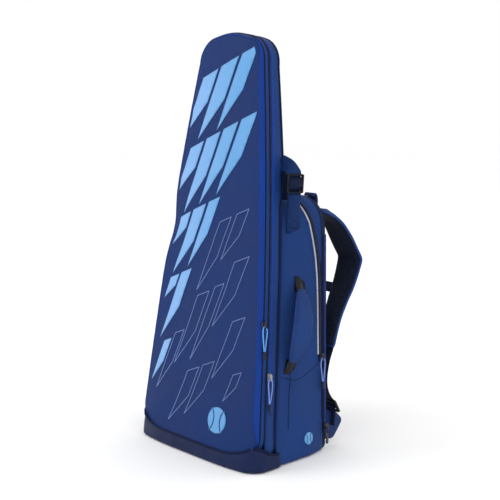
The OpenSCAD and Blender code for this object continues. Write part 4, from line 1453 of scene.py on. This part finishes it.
def side_handle():
    """Padded grab handle that bows away from the bag between two sewn anchors."""
    matrix = handle_frame()
    outward = directed((1, 0, 0), matrix)
    across = directed((0, 1, 0), matrix)
    low = 10.4
    sections, edges, spine = [], [[], []], []
    for v in np.linspace(-0.04, 1.04, 47):
        arch = math.sin(math.pi * min(max(v, 0), 1))
        z = low + (HANDLE_LEN - 2 * low) * v
        bow = 8.2 + 12.8 * arch
        half = 9 + 12.0 * arch ** 0.7
        full = 8.0 if 0.02 < v < 0.98 else 5.0
        deep = full / 2 - 0.3 + 0.35 * math.sin(v * 43) * arch
        ring = [(bow + full / 2 + math.copysign(abs(c) ** 0.75, c) * deep,
                 math.copysign(abs(s) ** 0.6, s) * half, z) for c, s in circle(0, 0, 1, 24)]
        sections.append(mapped(ring, matrix))
        for k, sign in enumerate((-1, 1)):
            edges[k].append((bow + full / 2, sign * (half + 0.1), z))
        spine.append((bow + full + 0.1, 0, z))
    body = make("side_handle_pad", *tube_mesh(sections), GRIP_CLOTH)
    settle(body, "side_handle", "strap_fabric", "side_handle")
    rows = []
    for k in (0, 1):
        edge = smooth_path(mapped(edges[k][2:-2], matrix), 50)
        settle(ropes(f"side_handle_binding_{k}", edge, 1.2, STRAP_EDGE), "side_handle", "strap_fabric")
        line = [(p[0], q[1] * 0.8, p[2]) for p, q in zip(spine, edges[k])][3:-3]
        rows.append(stitches("row", smooth_path(mapped(line, matrix), 60), outward, 4.2, 2.8, 0.36))
    settle(joined("side_handle_stitching", rows), "side_handle", "strap_fabric")
    over = ((0.4, 16), (1.6, 10), (3.6, 4), (6.6, -3), (9.2, -8), (11.2, -12))
    under = ((1.0, 9), (1.0, 0), (1.4, -7), (3.2, -10))
    seam = ((3.4, 9), (5.2, 4), (8.2, -3))
    for tag, end, sign in (("bottom", 0.0, -1), ("top", HANDLE_LEN, 1)):
        def line_at(y, route):
            return mapped([(x, y, end + sign * up) for x, up in route], matrix)
        bands = [ribbon("band", smooth_path(line_at(0, over), 22), across, 22, 3.2, BLACK),
                 ribbon("under", smooth_path(line_at(0, under), 14), across, 20, 1.8, BLACK)]
        piece = joined(f"handle_anchor_{tag}_webbing", bands)
        settle(piece, "root", "black_plastic", f"handle_anchor_{tag}")
        rows = [stitches("row", line_at(y, seam), outward, 3.0, 2.0, 0.36) for y in (-8, 8)]
        settle(joined(f"handle_anchor_stitching_{tag}", rows), "root", "webbing")


def laptop_sleeve():
    """Padded sleeve inside the back, a folded tray of lining cloth."""
    half = [(-124, 83), (-124, 68), (-121, 62), (-110, 60.2), (0, 59.6)]
    path = smooth_path(half + [(-x, y) for x, y in half[-2::-1]], 60)
    run = tangents(path)
    out = np.stack([run[:, 1], -run[:, 0]], axis=1)
    heights = np.linspace(22, 316, 24)
    outer, inner = (np.array([[(x, y, z) for x, y in path - depth * out] for z in heights])
                    for depth in (0, 3.4))
    piece = sheet_solid("laptop_sleeve_wall", outer, inner, LINING)
    settle(piece, "root", "back_fabric", "laptop_sleeve")
    top = [(x, y, 316.5) for x, y in path - 1.7 * out]
    settle(ropes("laptop_sleeve_binding", top, 2.2, SEAM_AND_SHADOW), "root", "back_fabric")


def wall_point(sections, y, z, lift=0.0):
    """Point of the main compartment's right wall at a depth and height, lifted outwards."""
    columns = sections[:, 9:60].swapaxes(0, 1)
    xs, zs = ([float(np.interp(y, column[:, 1], column[:, k])) for column in columns] for k in (0, 2))
    return (float(np.interp(z, zs, xs)) + lift, y, z)


def side_emblem(sections):
    """Small plain ball with two curved seams, printed low on the side."""
    cy, cz, radius = 40.0, 36.0, 11.0
    rings = [[wall_point(sections, y, z, 0.5) for y, z in circle(cy, cz, share * radius, 28)]
             for share in (0.02, 0.25, 0.5, 0.75, 1.0)]
    faces = grid_faces(5, 28, close_columns=True) + [tuple(range(28))]
    parts = [thick(make("disc", np.array(rings).reshape(-1, 3), faces, INK), 0.3, 0)]
    for sign in (-1, 1):
        line = [wall_point(sections, cy + sign * ball_seam(u, radius), cz + u, 0.85)
                for u in np.linspace(-radius * 0.86, radius * 0.86, 13)]
        parts.append(ropes("seam", line, 0.4, SEAM_AND_SHADOW, 6))
    settle(joined("side_emblem", parts), "root", "side_fabric")


def wall_seams(sections):
    """Seams and folds sewn into the right and left walls."""
    lines = {"dart": [(4, 168), (3, 150), (0, 128), (-3, 108), (-6, 84), (-8, 62)],
             "arc": [(-17, 156), (-2, 151), (14, 147), (32, 150), (52, 158), (70, 166)]}
    for (sign, tag), (name, route) in product(SIDES, lines.items()):
        path = smooth_path([wall_point(sections, y, z, 0.1) for y, z in route], 40) * [sign, 1, 1]
        settle(ropes(f"wall_{name}_seam_{tag}", path, 0.6, SEAM_AND_SHADOW, 6), "root", "side_fabric")
        beside = path + [sign * 0.3, 2.4, 0.8]
        row = stitches(f"wall_{name}_stitches_{tag}", beside, [sign, 0, 0], 4.4, 2.8, 0.32)
        settle(row, "root", "side_fabric")


# ---------------------------------------------------------------- camera, light, floor


def aimed(name, data, place, direction):
    """A camera or light at a place, turned towards a direction."""
    held = linked(name, data)
    held.location = place
    held.rotation_euler = Vector(direction).to_track_quat("-Z", "Y").to_euler()
    return held


def studio():
    """Camera at the photo's angle, pale floor, white surroundings and three soft lamps."""
    distance, height = 1.971, 0.688
    azimuth, heading, pitch = (math.radians(v) for v in (48.2, 47.2, 9.4))
    camera = bpy.data.cameras.new("camera")
    camera.lens = 79
    camera.sensor_width = 36
    forward = (-math.sin(heading) * math.cos(pitch), math.cos(heading) * math.cos(pitch), -math.sin(pitch))
    place = (distance * math.sin(azimuth), -distance * math.cos(azimuth), height)
    bpy.context.scene.camera = aimed("camera", camera, place, forward)
    floor, tree, shader, coords = start("floor")
    shades(tree, shader, maths(tree, "MULTIPLY", noise_of(tree, coords, 3.0), 0.3),
           (254, 254, 254), (251, 251, 252))
    finish(shader, Roughness=0.9)
    corners = [(x * 6000, y * 6000, 0) for x, y in ((-1, -1), (1, -1), (1, 1), (-1, 1))]
    make("floor", corners, [(0, 1, 2, 3)], floor, False)
    world = bpy.data.worlds.new("studio")
    world.use_nodes = True
    world.node_tree.nodes["Background"].inputs[0].default_value = (1.0, 1.0, 1.0, 1)
    world.node_tree.nodes["Background"].inputs[1].default_value = 1.0
    bpy.context.scene.world = world
    bpy.context.scene.view_settings.view_transform = "Standard"
    for name, place, power, width in (("key", (-1.6, -2.2, 2.3), 26, 1.6), ("fill", (2.6, -1.4, 1.6), 8, 2.0),
                                      ("back", (1.2, 2.6, 2.2), 12, 2.0)):
        light = bpy.data.lights.new(name, "AREA")
        light.energy = power
        light.size = width
        aimed(name, light, place, Vector((0, 0, 0.35)) - Vector(place))


studio()
front_panel()
back_wall()
gusset()
racket_zip()
pocket_band()
prints()
base_boat()
wall_sections = main_wall()
main_zip(wall_sections)
rear_zip()
pulls()
back_panel()
back_pads()
shoulder_straps()
webbing_and_locks()
compression()
chest()
haul_loop()
side_handle()
laptop_sleeve()
side_emblem(wall_sections)
wall_seams(wall_sections)

CAD_LOOKS = {"base_board": BOARD, "frame_sheet": BOARD}
for cad_name, cad_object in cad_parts.items():
    cad_object.data.materials.clear()
    cad_object.data.materials.append(CAD_LOOKS.get(cad_name, SIDE))
